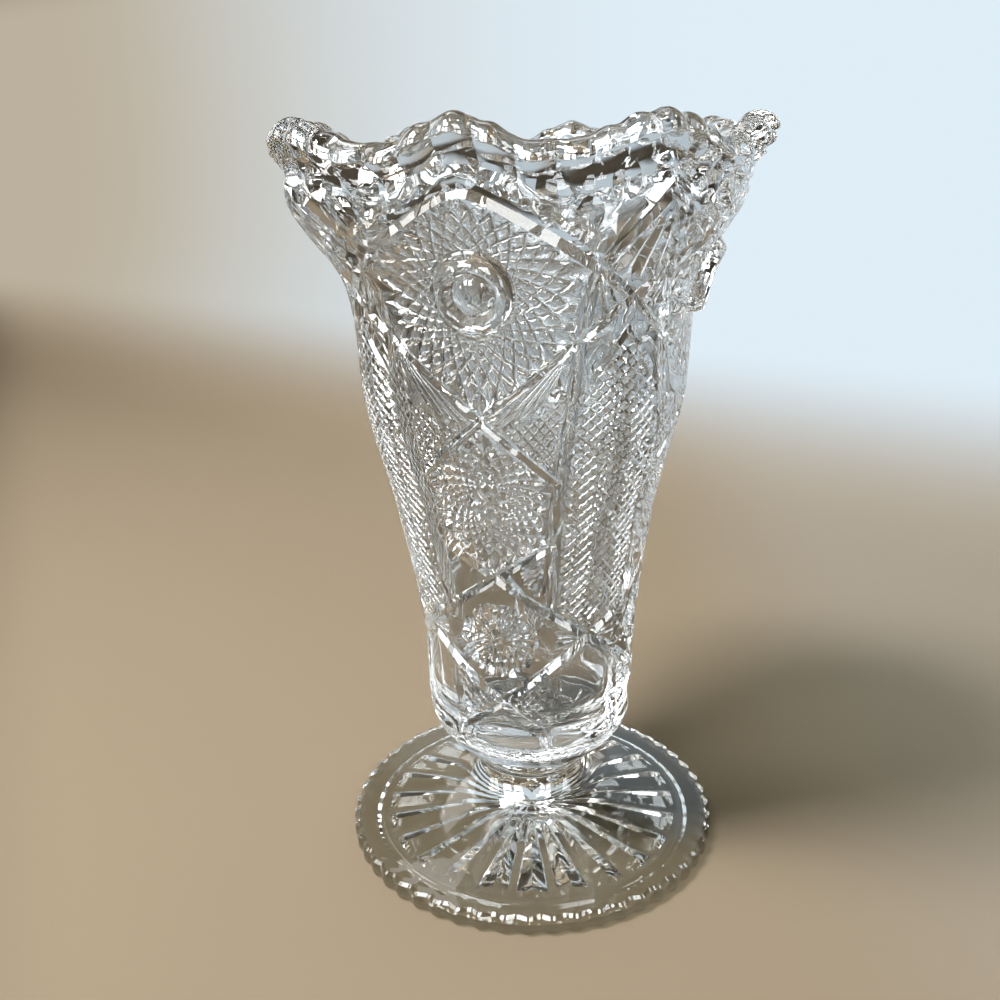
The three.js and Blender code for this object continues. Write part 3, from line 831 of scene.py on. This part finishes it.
def lower_relief(angle, height):
    """Hollow facets below the lowest lines, with an upright rib between them."""
    below = np.where(angle < MITRE_FOOT_ANGLE, lower_falling(angle), lower_rising(angle)) - height
    rib = np.abs(angle - MITRE_FOOT_ANGLE - FACET_RIB_SHIFT) * degree_length(height)
    above_heel = smooth_step(height, *(HEEL + v for v in FACET_HEEL_SPAN))
    return FACET_DEPTH * smooth_step(below, *FACET_SPAN) * above_heel * smooth_step(rib, *FACET_RIB_SPAN)


def relief(angle, height):
    """Depth of the pattern below the bowl's plain face, at real heights; the button stands proud of it."""
    depth = np.maximum(rim_relief(angle, height), lower_relief(angle, height))
    for field in FIELDS:
        held = field.holds(angle, height)
        depth[held] = np.maximum(depth[held], field.depth_at(angle[held], height[held]))
    for cut in CUTS:
        depth = np.maximum(depth, cut.depth_at(angle, height))
    for form in ROUNDS:
        held = form.holds(angle, height)
        depth[held] = form.depth_at(angle[held], height[held])
    return depth


class Sketch:
    """Points and edges of one wedge of the face, laid flat, that its triangles have to follow."""

    FLAT = 0.55  # millimetres that stand for a degree on the flat sketch
    CELL = 0.5
    SIDE = 0.06  # degrees within which a point is moved on to the wedge's side
    ROOM = 0.05

    def __init__(self):
        self.points = []
        self.edges = []
        self.near = {}

    def flat(self, points):
        angle, height = points.T
        for side in (0, WEDGE):
            angle = np.where(np.abs(angle - side) < self.SIDE, side, angle)
        return np.stack([angle * self.FLAT, unsunk(angle, height)], axis=1)

    def add(self, x, y):
        self.points.append((x, y))
        key = (math.floor(x / self.CELL), math.floor(y / self.CELL))
        self.near.setdefault(key, []).append(len(self.points) - 1)
        return len(self.points) - 1

    def within(self, points):
        angle, height = points.T
        top = unsunk(angle, height)
        beside = (angle >= -1e-6) & (angle <= WEDGE + 1e-6)
        return beside & (top > HEEL + self.ROOM) & (top < LIP_START - self.ROOM)

    def line(self, points, keep=None):
        """Adds a line where it is inside the wedge and where keep says so, cut at the wedge's sides."""
        points = clipped(points)
        if len(points) == 0:
            return
        kept = self.within(points)
        if keep is not None:
            kept &= keep(*points.T)
        flat = self.flat(points)
        before = None
        for held, (x, y) in zip(kept, flat):
            now = self.add(x, y) if held else None
            if before is not None and now is not None:
                self.edges.append((before, now))
            before = now

    def clear(self, x, y, room):
        reach = math.ceil(room / self.CELL)
        column, row = math.floor(x / self.CELL), math.floor(y / self.CELL)
        for i in range(column - reach, column + reach + 1):
            for j in range(row - reach, row + reach + 1):
                for k in self.near.get((i, j), ()):
                    px, py = self.points[k]
                    if (px - x) ** 2 + (py - y) ** 2 < room * room:
                        return False
        return True

    def scatter(self, points, keep, room):
        """Adds single points that have this much room round them."""
        kept = self.within(points)
        if keep is not None:
            kept &= keep(*points.T)
        for x, y in self.flat(points)[kept]:
            if self.clear(x, y, room):
                self.add(x, y)


def clipped(points):
    """A line cut off where it crosses the sides of the wedge, with an end point on the side itself."""
    made = []
    for (a1, z1), (a2, z2) in zip(points[:-1], points[1:]):
        cut = {0.0, 1.0}
        for side in (0, WEDGE):
            if (a1 - side) * (a2 - side) < 0:
                cut.add((side - a1) / (a2 - a1))
        made += [(a1 + (a2 - a1) * s, z1 + (z2 - z1) * s) for s in sorted(cut)[:-1]]
    made.append(tuple(points[-1]))
    return np.array(made)


def wedge_triangles():
    """Angle and height before the scallops of each vertex of one wedge, and its triangles."""
    sketch = Sketch()
    top, width = LIP_START, WEDGE * Sketch.FLAT
    for row in (HEEL, top):
        ends = [sketch.add(width * i / RIM_COLUMNS, row) for i in range(RIM_COLUMNS + 1)]
        sketch.edges += list(zip(ends[:-1], ends[1:]))
    for x in (0, width):
        steps = round((top - HEEL) / SIDE_STEP)
        rows = [sketch.add(x, HEEL + (top - HEEL) * i / steps) for i in range(1, steps)]
        first = 0 if x == 0 else RIM_COLUMNS
        chain = [first, *rows, first + RIM_COLUMNS + 1]
        sketch.edges += list(zip(chain[:-1], chain[1:]))
    for cut in CUTS:
        for line in cut.shoulders():
            sketch.line(line)
    for form in [*ROUNDS, *PRINTS, *FIELDS]:
        form.draw(sketch)
    for angle in flute_valleys():
        heights = np.arange(ARCH_FOOT + 1, LIP, SIDE_STEP)
        valley = np.stack([np.full(len(heights), angle), heights], axis=1)
        sketch.line(valley, lambda a, h: above_arch(a, h) > FLUTE_START_SPAN[0])
    side_gap, heel_gap, lip_gap = SCATTER_GAPS
    rows = np.arange(HEEL + heel_gap, top - lip_gap, ROW_STEP)
    columns = np.arange(side_gap, WEDGE, COLUMN_STEP)
    angle, height = (v.ravel() for v in np.meshgrid(columns, rows))
    angle = angle + COLUMN_STEP / 2 * (np.round((height - HEEL) / ROW_STEP) % 2)
    sunk = height - rim_change(angle, height)[0]
    sketch.scatter(np.stack([angle, sunk], axis=1), None, SCATTER_ROOM)
    vertices, _, faces, *_ = delaunay_2d_cdt(sketch.points, sketch.edges, [], 0, 1e-3)
    flat = np.array([tuple(v) for v in vertices])
    angle, height = flat[:, 0] / Sketch.FLAT, flat[:, 1]
    triangles = np.array([list(f) for f in faces])
    for values, sides in ((angle, (0, WEDGE)), (height, (HEEL, top))):
        for side in sides:
            on_side = np.abs(values - side) < SNAP
            values[on_side] = side
            triangles = triangles[~on_side[triangles].all(axis=1)]
    return angle, height, triangles


def patterned_face():
    """The wedge repeated eight times round the bowl: points, and triangles that face out."""
    angle, height, triangles = wedge_triangles()
    depth = relief(angle, height - rim_change(angle, height)[0])
    corners = np.stack([angle[triangles], height[triangles]], axis=-1)
    turn = np.cross(corners[:, 1] - corners[:, 0], corners[:, 2] - corners[:, 0])
    triangles[turn < 0] = triangles[turn < 0][:, ::-1]
    angles, faces = [], []
    for panel in range(PANELS):
        for mirror in (1, -1):
            faces.append((triangles if mirror > 0 else triangles[:, ::-1]) + len(faces) * len(angle))
            angles.append(panel * PANEL + mirror * angle)
    heights, depths = (np.tile(v, len(angles)) for v in (height, depth))
    angles = np.concatenate(angles)
    points = face_point(angles, heights) - depths[:, None] * face_normal(angles, heights)
    return points, np.concatenate(faces)


def inner_waves(angle, height):
    turns = (count * angle + CIRCLE * height / length + start for count, length, start in INNER_WAVES)
    return INNER_WAVE * sum(np.sin(np.radians(turn)) for turn in turns)


def face_row(angle, height, inset=0.0, lift=0.0):
    return face_point(angle, np.full(len(angle), height), inset, lift)


def rows_below(angle):
    """Rows of points from the heel down round the collar to the middle of the bowl's seat."""
    rows = [face_row(angle, h) for h in np.linspace(HEEL, COLLAR, COLLAR_ROWS)]
    rows += [face_row(angle, h) for h in np.linspace(COLLAR, BOWL_BASE, COLLAR_ROWS)[1:]]
    return [*rows, ring_points(angle, 0, BOWL_BASE - SEAM_OVERLAP)]


def rows_over(angle):
    """Rows of points from the patterned face over the bead and down inside to the middle of the floor."""
    half_width = (LIP_THICKNESS + BEAD_INSIDE) / 2
    fluting = flutes(angle)[:, None] * face_normal(angle, np.full(len(angle), LIP_START))
    rows = [face_row(angle, LIP_START) - fluting]
    for turn in np.radians(np.linspace(0, 180, BEAD_ROWS)):
        inset = half_width * (1 - math.cos(turn))
        row = face_row(angle, LIP, inset, BEAD_ROUND * (math.sin(turn) - 1))
        rows.append(row - fluting * (1 + math.cos(turn)) / 2)
    bottom = FLOOR + FLOOR_ROUND
    for share in np.linspace(0, 1, INNER_ROWS)[1:] ** INNER_SPACING:
        height = (LIP - BEAD_ROUND) + (bottom - LIP + BEAD_ROUND) * share
        inset = LIP_THICKNESS + (WALL - LIP_THICKNESS) * min(1, share * LIP_FADE)
        inset += BEAD_INSIDE * (1 - smooth_step(share, 0, BEAD_END))
        strength = smooth_step(share, 0, INNER_WAVE_TOP) * smooth_step(1 - share, 0, INNER_WAVE_FOOT)
        rows.append(face_row(angle, height, inset + strength * inner_waves(angle, height)))
    radius = float(bowl_radius(bottom)) - WALL
    for turn in np.radians(np.linspace(0, 90, FLOOR_ROWS)[1:]):
        inset = FLOOR_ROUND * (1 - math.cos(turn))
        rows.append(ring_points(angle, radius - inset, FLOOR + FLOOR_ROUND * (1 - math.sin(turn))))
    return rows + [ring_points(angle, (radius - FLOOR_ROUND) * share, FLOOR) for share in FLOOR_SHARES]


def ring_points(angle, radius, height):
    turn = np.radians(angle)
    return np.stack([radius * np.sin(turn), -radius * np.cos(turn), np.full(len(turn), height)], axis=-1)


def rows_mesh(rows, outwards):
    """Quads between rows of points that go once round."""
    columns = len(rows[0])
    faces = []
    for r in range(len(rows) - 1):
        for i in range(columns):
            j = (i + 1) % columns
            quad = [r * columns + i, r * columns + j, (r + 1) * columns + j, (r + 1) * columns + i]
            faces.append(quad if outwards else quad[::-1])
    return np.concatenate(rows), faces


def placed(name, data):
    """A new object at the origin, linked to the scene."""
    made = bpy.data.objects.new(name, data)
    bpy.context.scene.collection.objects.link(made)
    return made


def mesh_object(name, parts, crease):
    """One closed mesh from parts given in millimetres."""
    points, faces = [], []
    for part_points, part_faces in parts:
        start = sum(len(p) for p in points)
        points.append(np.asarray(part_points))
        faces += [[int(i) + start for i in face] for face in part_faces]
    mesh = bpy.data.meshes.new(name)
    mesh.from_pydata((np.concatenate(points) * MM).tolist(), [], faces)
    tidy_mesh(mesh, crease)
    return placed(name, mesh)


def tidy_mesh(mesh, crease):
    """Merges a mesh's doubles, turns its faces out and keeps its creases sharp."""
    work = bmesh.new()
    work.from_mesh(mesh)
    bmesh.ops.remove_doubles(work, verts=work.verts, dist=MERGE * MM)
    bmesh.ops.dissolve_degenerate(work, edges=work.edges, dist=MERGE * MM)
    bmesh.ops.recalc_face_normals(work, faces=work.faces)
    work.to_mesh(mesh)
    work.free()
    mesh.shade_smooth()
    mesh.set_sharp_from_angle(angle=math.radians(crease))


def make_bowl():
    columns = 2 * PANELS * RIM_COLUMNS
    angle = np.arange(columns) * CIRCLE / columns
    parts = [patterned_face(), rows_mesh(rows_below(angle), False), rows_mesh(rows_over(angle), True)]
    return mesh_object("cut_style_bowl", parts, CREASE)


def make_wafer():
    low, high = box_mm("stem_wafer")
    middle_radius = high[0] - WAFER_EDGE_ROUND
    base, top = low[2] - SEAM - SEAM_OVERLAP, high[2] + SEAM
    angle = np.arange(WAFER_COLUMNS) * CIRCLE / WAFER_COLUMNS
    middle, half = (base + top) / 2, (top - base) / 2
    rows = [ring_points(angle, radius, base) for radius in (0, WAFER_FLAT_RADIUS)]
    for turn in np.radians(np.linspace(-90, 90, WAFER_EDGE_POINTS)):
        radius = middle_radius + WAFER_EDGE_ROUND * math.cos(turn)
        rows.append(ring_points(angle, radius, middle + half * math.sin(turn)))
    rows += [ring_points(angle, radius, top) for radius in (WAFER_FLAT_RADIUS, 0)]
    return mesh_object("stem_disc", [rows_mesh(rows, True)], WAFER_CREASE)


class Wire:
    """One output of a node. Sums and products of wires and numbers add Math nodes."""

    def __init__(self, graph, socket):
        self.graph = graph
        self.socket = socket

    def __add__(self, other):
        return self.graph.math("ADD", self, other)

    __radd__ = __add__

    def __sub__(self, other):
        return self.graph.math("SUBTRACT", self, other)

    def __rsub__(self, other):
        return self.graph.math("SUBTRACT", other, self)

    def __mul__(self, other):
        return self.graph.math("MULTIPLY", self, other)

    __rmul__ = __mul__

    def __truediv__(self, other):
        return self.graph.math("DIVIDE", self, other)


class Graph:
    """A node tree that is built by naming each node's type, settings and inputs."""

    def __init__(self, tree):
        tree.nodes.clear()
        self.tree = tree

    def add(self, kind, settings=None, inputs=None, output=0):
        node = self.tree.nodes.new(kind)
        for name, value in (settings or {}).items():
            setattr(node, name, value)
        for key, value in (inputs or {}).items():
            if isinstance(value, Wire):
                self.tree.links.new(value.socket, node.inputs[key])
            else:
                node.inputs[key].default_value = value
        return Wire(self, node.outputs[output]) if node.outputs else node

    def math(self, operation, *values, **settings):
        return self.add("ShaderNodeMath", {"operation": operation, **settings}, dict(enumerate(values)))

    def sine(self, degrees):
        return self.math("SINE", degrees * math.radians(1))

    def cosine(self, degrees):
        return self.math("COSINE", degrees * math.radians(1))

    def part(self, vector, axis):
        return self.add("ShaderNodeSeparateXYZ", inputs={0: vector}, output=axis)

    def eased(self, value, start, end):
        """0 up to start, 1 from end on, with an eased rise between."""
        ease = {"interpolation_type": "SMOOTHSTEP"}
        return self.add("ShaderNodeMapRange", ease, {"Value": value, "From Min": start, "From Max": end})

    def blend(self, factor, first, second):
        """Mix of two colours, each a wire or three numbers."""
        first, second = (c if isinstance(c, Wire) else (*c, 1) for c in (first, second))
        return self.add("ShaderNodeMix", {"data_type": "RGBA"}, {0: factor, 6: first, 7: second}, output=2)


# Foot: its section turned round, with a scalloped edge and a star of V cuts underneath
FOOT_RADIUS = 40
FOOT_EDGE_HEIGHT = 4.4
FOOT_EDGE_ROUND = 1.3
FOOT_EDGE_POINTS = 7
FOOT_SLOPE_POINTS = 40
FOOT_SLOPE_POWER = 1.5
FOOT_NECK_RADIUS = 10.8
FOOT_HOLLOW = 0.9
FOOT_HOLLOW_RADIUS = 34.5
FOOT_COUNTS = {"Columns": 624, "Rows": 104, "Scallops": 52, "Rays": 24}
FOOT_SIZES = {
    "Scallop Depth": 0.7,
    "Scallops Start": 36,
    "Scallops End": 38.7,
    "Star Inner Radius": 6,
    "Star Outer Radius": 30.5,
    "Ray Tip Depth": 0.4,
    "Ray Depth": 1.9,
    "Ray Half Width": 3.3,
    "Ray End": 1.2,
    "Underside Limit": 2,
}


def foot_outline():
    """Section of the foot as [radius, height], from the middle of its underside round to its neck."""
    top = box_mm("foot")[1][2] + SEAM_OVERLAP
    points = [(0, FOOT_HOLLOW), (FOOT_HOLLOW_RADIUS - FOOT_HOLLOW, FOOT_HOLLOW), (FOOT_HOLLOW_RADIUS, 0)]
    middle = FOOT_RADIUS - FOOT_EDGE_ROUND
    for height, first in ((FOOT_EDGE_ROUND, -90), (FOOT_EDGE_HEIGHT - FOOT_EDGE_ROUND, 0)):
        for turn in np.radians(first + np.linspace(0, 90, FOOT_EDGE_POINTS)):
            rise = height + FOOT_EDGE_ROUND * math.sin(turn)
            points.append((middle + FOOT_EDGE_ROUND * math.cos(turn), rise))
    for share in np.linspace(0, 1, FOOT_SLOPE_POINTS)[1:]:
        inward = 1 - (1 - share) ** 2
        upward = 1 - math.sqrt(1 - inward**FOOT_SLOPE_POWER)
        radius = middle + (FOOT_NECK_RADIUS - middle) * inward
        points.append((radius, FOOT_EDGE_HEIGHT + (top - FOOT_EDGE_HEIGHT) * upward))
    return [*points, (0, top)]


def foot_tree(material):
    """Geometry nodes that turn a section round the axis, and sink the scallops and the star into it."""
    tree = bpy.data.node_groups.new("turned_foot", "GeometryNodeTree")
    graph = Graph(tree)
    tree.interface.new_socket("Section", in_out="INPUT", socket_type="NodeSocketGeometry")
    for names, kind in ((FOOT_COUNTS, "NodeSocketInt"), (FOOT_SIZES, "NodeSocketFloat")):
        for name in names:
            tree.interface.new_socket(name, in_out="INPUT", socket_type=kind)
    tree.interface.new_socket("Foot", in_out="OUTPUT", socket_type="NodeSocketGeometry")
    given = tree.nodes.new("NodeGroupInput")
    size = {socket.name: Wire(graph, socket) for socket in given.outputs}

    place = graph.add("GeometryNodeInputPosition")
    around = graph.part(place, "X") + 0.5
    section = graph.add("GeometryNodeMeshToCurve", inputs={"Mesh": size["Section"]})
    along = {"Curves": section, "Factor": graph.part(place, "Y") + 0.5}
    point = graph.add("GeometryNodeSampleCurve", {"mode": "FACTOR"}, along, output="Position")
    radius = graph.part(point, "X")
    height = graph.part(point, "Z")

    wave = (1 - graph.cosine(around * size["Scallops"] * CIRCLE)) * size["Scallop Depth"] / 2
    inset = wave * graph.eased(radius, size["Scallops Start"], size["Scallops End"])

    beside_ray = graph.math("PINGPONG", around * size["Rays"], 0.5)
    across = beside_ray * radius * (2 * math.pi) / size["Rays"]
    span = {"Value": radius, "From Min": size["Star Inner Radius"], "From Max": size["Star Outer Radius"]}
    reach = graph.add("ShaderNodeMapRange", inputs=span)
    edge = 1 - across / (size["Ray Half Width"] * reach + 0.01 * MM)
    groove = graph.math("MAXIMUM", edge, 0.0)
    depth = size["Ray Tip Depth"] + (size["Ray Depth"] - size["Ray Tip Depth"]) * reach
    ended = graph.eased(radius, size["Star Outer Radius"], size["Star Outer Radius"] + size["Ray End"])
    above = graph.eased(height, size["Underside Limit"] / 2, size["Underside Limit"])
    lift = groove * depth * (1 - ended) * (1 - above)

    turn = around * CIRCLE
    outer = radius - inset
    moved = {0: outer * graph.sine(turn), 1: outer * graph.cosine(turn) * -1, 2: height + lift}
    counts = {"Vertices X": size["Columns"] + 1, "Vertices Y": size["Rows"]}
    grid = graph.add("GeometryNodeMeshGrid", inputs={"Size X": 1.0, "Size Y": 1.0, **counts})
    position = graph.add("ShaderNodeCombineXYZ", inputs=moved)
    turned = graph.add("GeometryNodeSetPosition", inputs={"Geometry": grid, "Position": position})
    closed = graph.add("GeometryNodeMergeByDistance", inputs={"Geometry": turned, "Distance": 0.002 * MM})
    real = graph.add("GeometryNodeRealizeInstances", inputs={"Geometry": closed})
    finished = graph.add("GeometryNodeSetMaterial", inputs={"Geometry": real, "Material": material})
    graph.add("NodeGroupOutput", inputs={"Foot": finished})
    return tree


def make_foot(material):
    outline = [(radius * MM, 0, height * MM) for radius, height in foot_outline()]
    section = bpy.data.meshes.new("foot_section")
    section.from_pydata(outline, [(i, i + 1) for i in range(len(outline) - 1)], [])
    source = placed("foot_section", section)
    modifier = source.modifiers.new("turned_foot", "NODES")
    modifier.node_group = foot_tree(material)
    values = {**FOOT_COUNTS, **{name: value * MM for name, value in FOOT_SIZES.items()}}
    for socket in modifier.node_group.interface.items_tree:
        if socket.name in values:
            modifier[socket.identifier] = values[socket.name]
    evaluated = source.evaluated_get(bpy.context.evaluated_depsgraph_get())
    mesh = bpy.data.meshes.new_from_object(evaluated)
    bpy.data.objects.remove(source)
    mesh.name = "rayed_foot"
    tidy_mesh(mesh, CREASE)
    return placed("rayed_foot", mesh)


def new_material(name):
    material = bpy.data.materials.new(name)
    material.use_nodes = True
    return material, Graph(material.node_tree)


def glass(name, tint, roughness, wave, shade):
    """Clear glass with faint waves from the mould; lamps shine through it with a soft shade."""
    material, graph = new_material(name)
    place = graph.add("ShaderNodeTexCoord", output="Object")
    slow = graph.add("ShaderNodeTexNoise", inputs={"Vector": place, "Scale": WAVE_SCALE, "Detail": 2.0})
    fine = graph.add("ShaderNodeTexNoise", inputs={"Vector": place, "Scale": GRAIN_SCALE, "Detail": 3.0})
    bump = graph.add("ShaderNodeBump", inputs={"Strength": wave, "Distance": WAVE_HEIGHT, "Height": slow})
    clear = {"Base Color": tint, "IOR": 1.5, "Transmission Weight": 1.0}
    varied = {"Roughness": roughness + fine * GRAIN_ROUGHNESS, "Normal": bump}
    shader = graph.add("ShaderNodeBsdfPrincipled", inputs={**clear, **varied})
    through = graph.add("ShaderNodeBsdfTransparent", inputs={"Color": shade})
    is_shadow = graph.add("ShaderNodeLightPath", output="Is Shadow Ray")
    mixed = graph.add("ShaderNodeMixShader", inputs={0: is_shadow, 1: shader, 2: through})
    graph.add("ShaderNodeOutputMaterial", inputs={"Surface": mixed})
    return material


def table_and_wall_with_painted_light():
    """Matt table that turns into a wall, painted brown and darker at the left and bright pale blue at the
    right: painted light.

    The camera and the glass see the wall glow at this painted colour, whatever light falls on it. The
    table's pool of light, its lighter right side and the wall's dark top and sides are painted too.
    """
    material, graph = new_material("table_and_wall_painted_light")
    place = graph.add("ShaderNodeTexCoord", output="Object")
    x, z = graph.part(place, "X"), graph.part(place, "Z")
    turn_back = {"Vector": place, "Angle": math.radians(-CAMERA_ANGLE)}
    turned = graph.add("ShaderNodeVectorRotate", {"rotation_type": "Z_AXIS"}, turn_back)
    side, ahead = graph.part(turned, "X"), graph.part(turned, "Y")
    # Painted pool of light: the table is painted dim to the sides and towards the front, as painted shade
    off_side = graph.math("ABSOLUTE", side) - ahead * POOL_WIDENING
    painted_light_pool = (1 - graph.eased(off_side, *POOL_SIDE_SPAN)) * graph.eased(ahead, *POOL_FRONT_SPAN)
    # Painted light: the table turns lighter and greyer towards the right
    table = graph.blend(graph.eased(side, *TABLE_PAINTED_LIGHT_SPAN), TABLE_COLOR, TABLE_RIGHT_PAINTED_LIGHT_COLOR)
    table = graph.blend(painted_light_pool, [PAINTED_POOL_SHADE * c for c in TABLE_COLOR], table)
    # Painted shade: the wall is painted dark above its top span and beyond its sides
    across = graph.math("ABSOLUTE", x - WALL_MIDDLE)
    lit = (1 - graph.eased(z, *WALL_TOP_SPAN)) * (1 - graph.eased(across, *WALL_SIDE_SPAN))
    # Painted light: the wall goes from darker brown at the left to bright pale blue at the right
    wall = graph.blend(graph.eased(x, *WALL_PAINTED_LIGHT_SPAN), WALL_LEFT_COLOR, WALL_RIGHT_COLOR)
    upwards = graph.eased(z, *WALL_START_SPAN)
    color = graph.blend(upwards, table, graph.blend(lit, PAINTED_SHADE_COLOR, wall))
    # The wall glows at its painted colour, painted light and shade included, for the camera and the glass
    rays = ("Is Camera Ray", "Is Glossy Ray", "Is Transmission Ray")
    camera, glossy, transmitted = (graph.add("ShaderNodeLightPath", output=ray) for ray in rays)
    seen = graph.math("ADD", camera + glossy, transmitted, use_clamp=True)
    finish = {"Base Color": color, "Roughness": TABLE_ROUGHNESS, "Specular IOR Level": 0.0}
    matt = graph.add("ShaderNodeBsdfPrincipled", inputs=finish)
    bright = graph.add("ShaderNodeEmission", inputs={"Color": color, "Strength": 1.0})
    mixed = graph.add("ShaderNodeMixShader", inputs={0: seen * upwards, 1: matt, 2: bright})
    graph.add("ShaderNodeOutputMaterial", inputs={"Surface": mixed})
    return material


def make_stage():
    """A table that curves up into a wall behind the vase, in one sheet."""
    start = WALL_DISTANCE - WALL_CURVE
    profile = [(TABLE_FRONT, 0), (start, 0)]
    for turn in np.radians(np.linspace(0, 90, WALL_CURVE_STEPS + 1)[1:]):
        profile.append((start + WALL_CURVE * math.sin(turn), WALL_CURVE * (1 - math.cos(turn))))
    profile.append((WALL_DISTANCE, WALL_HEIGHT))
    points = [(x, y, z) for x in (-TABLE_HALF_WIDTH, TABLE_HALF_WIDTH) for y, z in profile]
    count = len(profile)
    faces = [(i, i + count, i + count + 1, i + 1) for i in range(count - 1)]
    mesh = bpy.data.meshes.new("table_and_wall")
    turned = Matrix.Rotation(math.radians(CAMERA_ANGLE + WALL_TURN), 4, "Z")
    mesh.from_pydata([turned @ (Vector(p) * MM) for p in points], [], faces)
    mesh.shade_smooth()
    mesh.materials.append(table_and_wall_with_painted_light())
    stage = placed("table_and_wall", mesh)


def make_camera():
    pitch, yaw, roll = (math.radians(a) for a in (CAMERA_PITCH, CAMERA_YAW, CAMERA_ROLL))
    ahead = Vector((math.sin(yaw) * math.cos(pitch), math.cos(yaw) * math.cos(pitch), -math.sin(pitch)))
    right = ahead.cross(Vector((0, 0, 1))).normalized()
    up = right.cross(ahead)
    rolled_right = math.cos(roll) * right + math.sin(roll) * up
    rolled_up = math.cos(roll) * up - math.sin(roll) * right
    turn = Matrix.Rotation(math.radians(CAMERA_ANGLE), 4, "Z")
    matrix = Matrix((rolled_right, rolled_up, -ahead)).transposed().to_4x4()
    matrix.translation = Vector((0, -CAMERA_DISTANCE, CAMERA_HEIGHT)) * MM
    data = bpy.data.cameras.new("camera")
    data.lens = CAMERA_LENS
    data.sensor_width = CAMERA_SENSOR
    data.clip_start = 0.01
    camera = placed("camera", data)
    camera.matrix_world = turn @ matrix
    bpy.context.scene.camera = camera


def add_lamp(name, place, size, power, color, lights_table=True):
    data = bpy.data.lights.new(name, "AREA")
    data.shape = "RECTANGLE"
    data.size, data.size_y = size
    data.energy = power
    data.color = color
    lamp = placed(name, data)
    lamp.location = Vector(place)
    lamp.rotation_euler = (Vector(LAMP_AIM) - lamp.location).to_track_quat("-Z", "Y").to_euler()
    lamp.visible_diffuse = lights_table
    lamp.visible_camera = False


def add_card(name, turn, rise, size, brightness, color):
    """Bright card that only the glass shows, placed by its turn from the back and its rise."""
    turn, rise = math.radians(turn + CAMERA_ANGLE), math.radians(rise)
    place = (-math.sin(turn) * math.cos(rise), math.cos(turn) * math.cos(rise), math.sin(rise))
    power = brightness * math.pi * size[0] * size[1]
    add_lamp(name, [CARD_DISTANCE * v for v in place], size, power, color, lights_table=False)


def add_window(name, turn, rise, size, brightness, color):
    """Four bright panes with dark bars between them."""
    pane = (PANE_SHARE * size[0], PANE_SHARE * size[1])
    for column in (-1, 1):
        for row in (-1, 1):
            across = math.degrees(column * size[0] / 4 / CARD_DISTANCE) / math.cos(math.radians(rise))
            up = math.degrees(row * size[1] / 4 / CARD_DISTANCE)
            add_card(name, turn + across, rise + up, pane, brightness, color)


def make_light():
    add_lamp("window_light", *WINDOW_LIGHT)
    for card in CARDS:
        add_card(*card)
    for window in WINDOWS:
        add_window(*window)
    for turn, rise in CEILING_SPOTS:
        add_card("ceiling_spot", turn, rise, *CEILING_SPOT)
    world = bpy.data.worlds.new("studio")
    world.use_nodes = True
    bpy.context.scene.world = world
    graph = Graph(world.node_tree)
    up = graph.part(graph.add("ShaderNodeTexCoord", output="Generated"), "Z")
    dome = graph.blend(graph.eased(up, *DOME_SPAN), DOME_LOW_COLOR, DOME_HIGH_COLOR)
    back = graph.add("ShaderNodeBackground", inputs={"Color": dome, "Strength": 1.0})
    graph.add("ShaderNodeOutputWorld", inputs={"Surface": back})


def main():
    make_camera()
    make_stage()
    make_light()
    clear, smooth, grey = (glass(*kind) for kind in (BOWL_GLASS, WAFER_GLASS, FOOT_GLASS))
    dressed = [
        (make_bowl(), "bowl", "bowl_glass", clear),
        (make_wafer(), "stem_wafer", "stem_glass", smooth),
        (make_foot(grey), "foot", "foot_glass", grey),
    ]
    for piece, node, slot, material in dressed:
        piece.data.materials.clear()
        piece.data.materials.append(material)
        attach(piece, "root")
        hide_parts(node)
    scene = bpy.context.scene
    scene.view_settings.view_transform = "Standard"
    scene.cycles.max_bounces = 20
    scene.cycles.transmission_bounces = 20
    scene.cycles.glossy_bounces = 10
    scene.cycles.caustics_reflective = False
    scene.cycles.caustics_refractive = False


main()
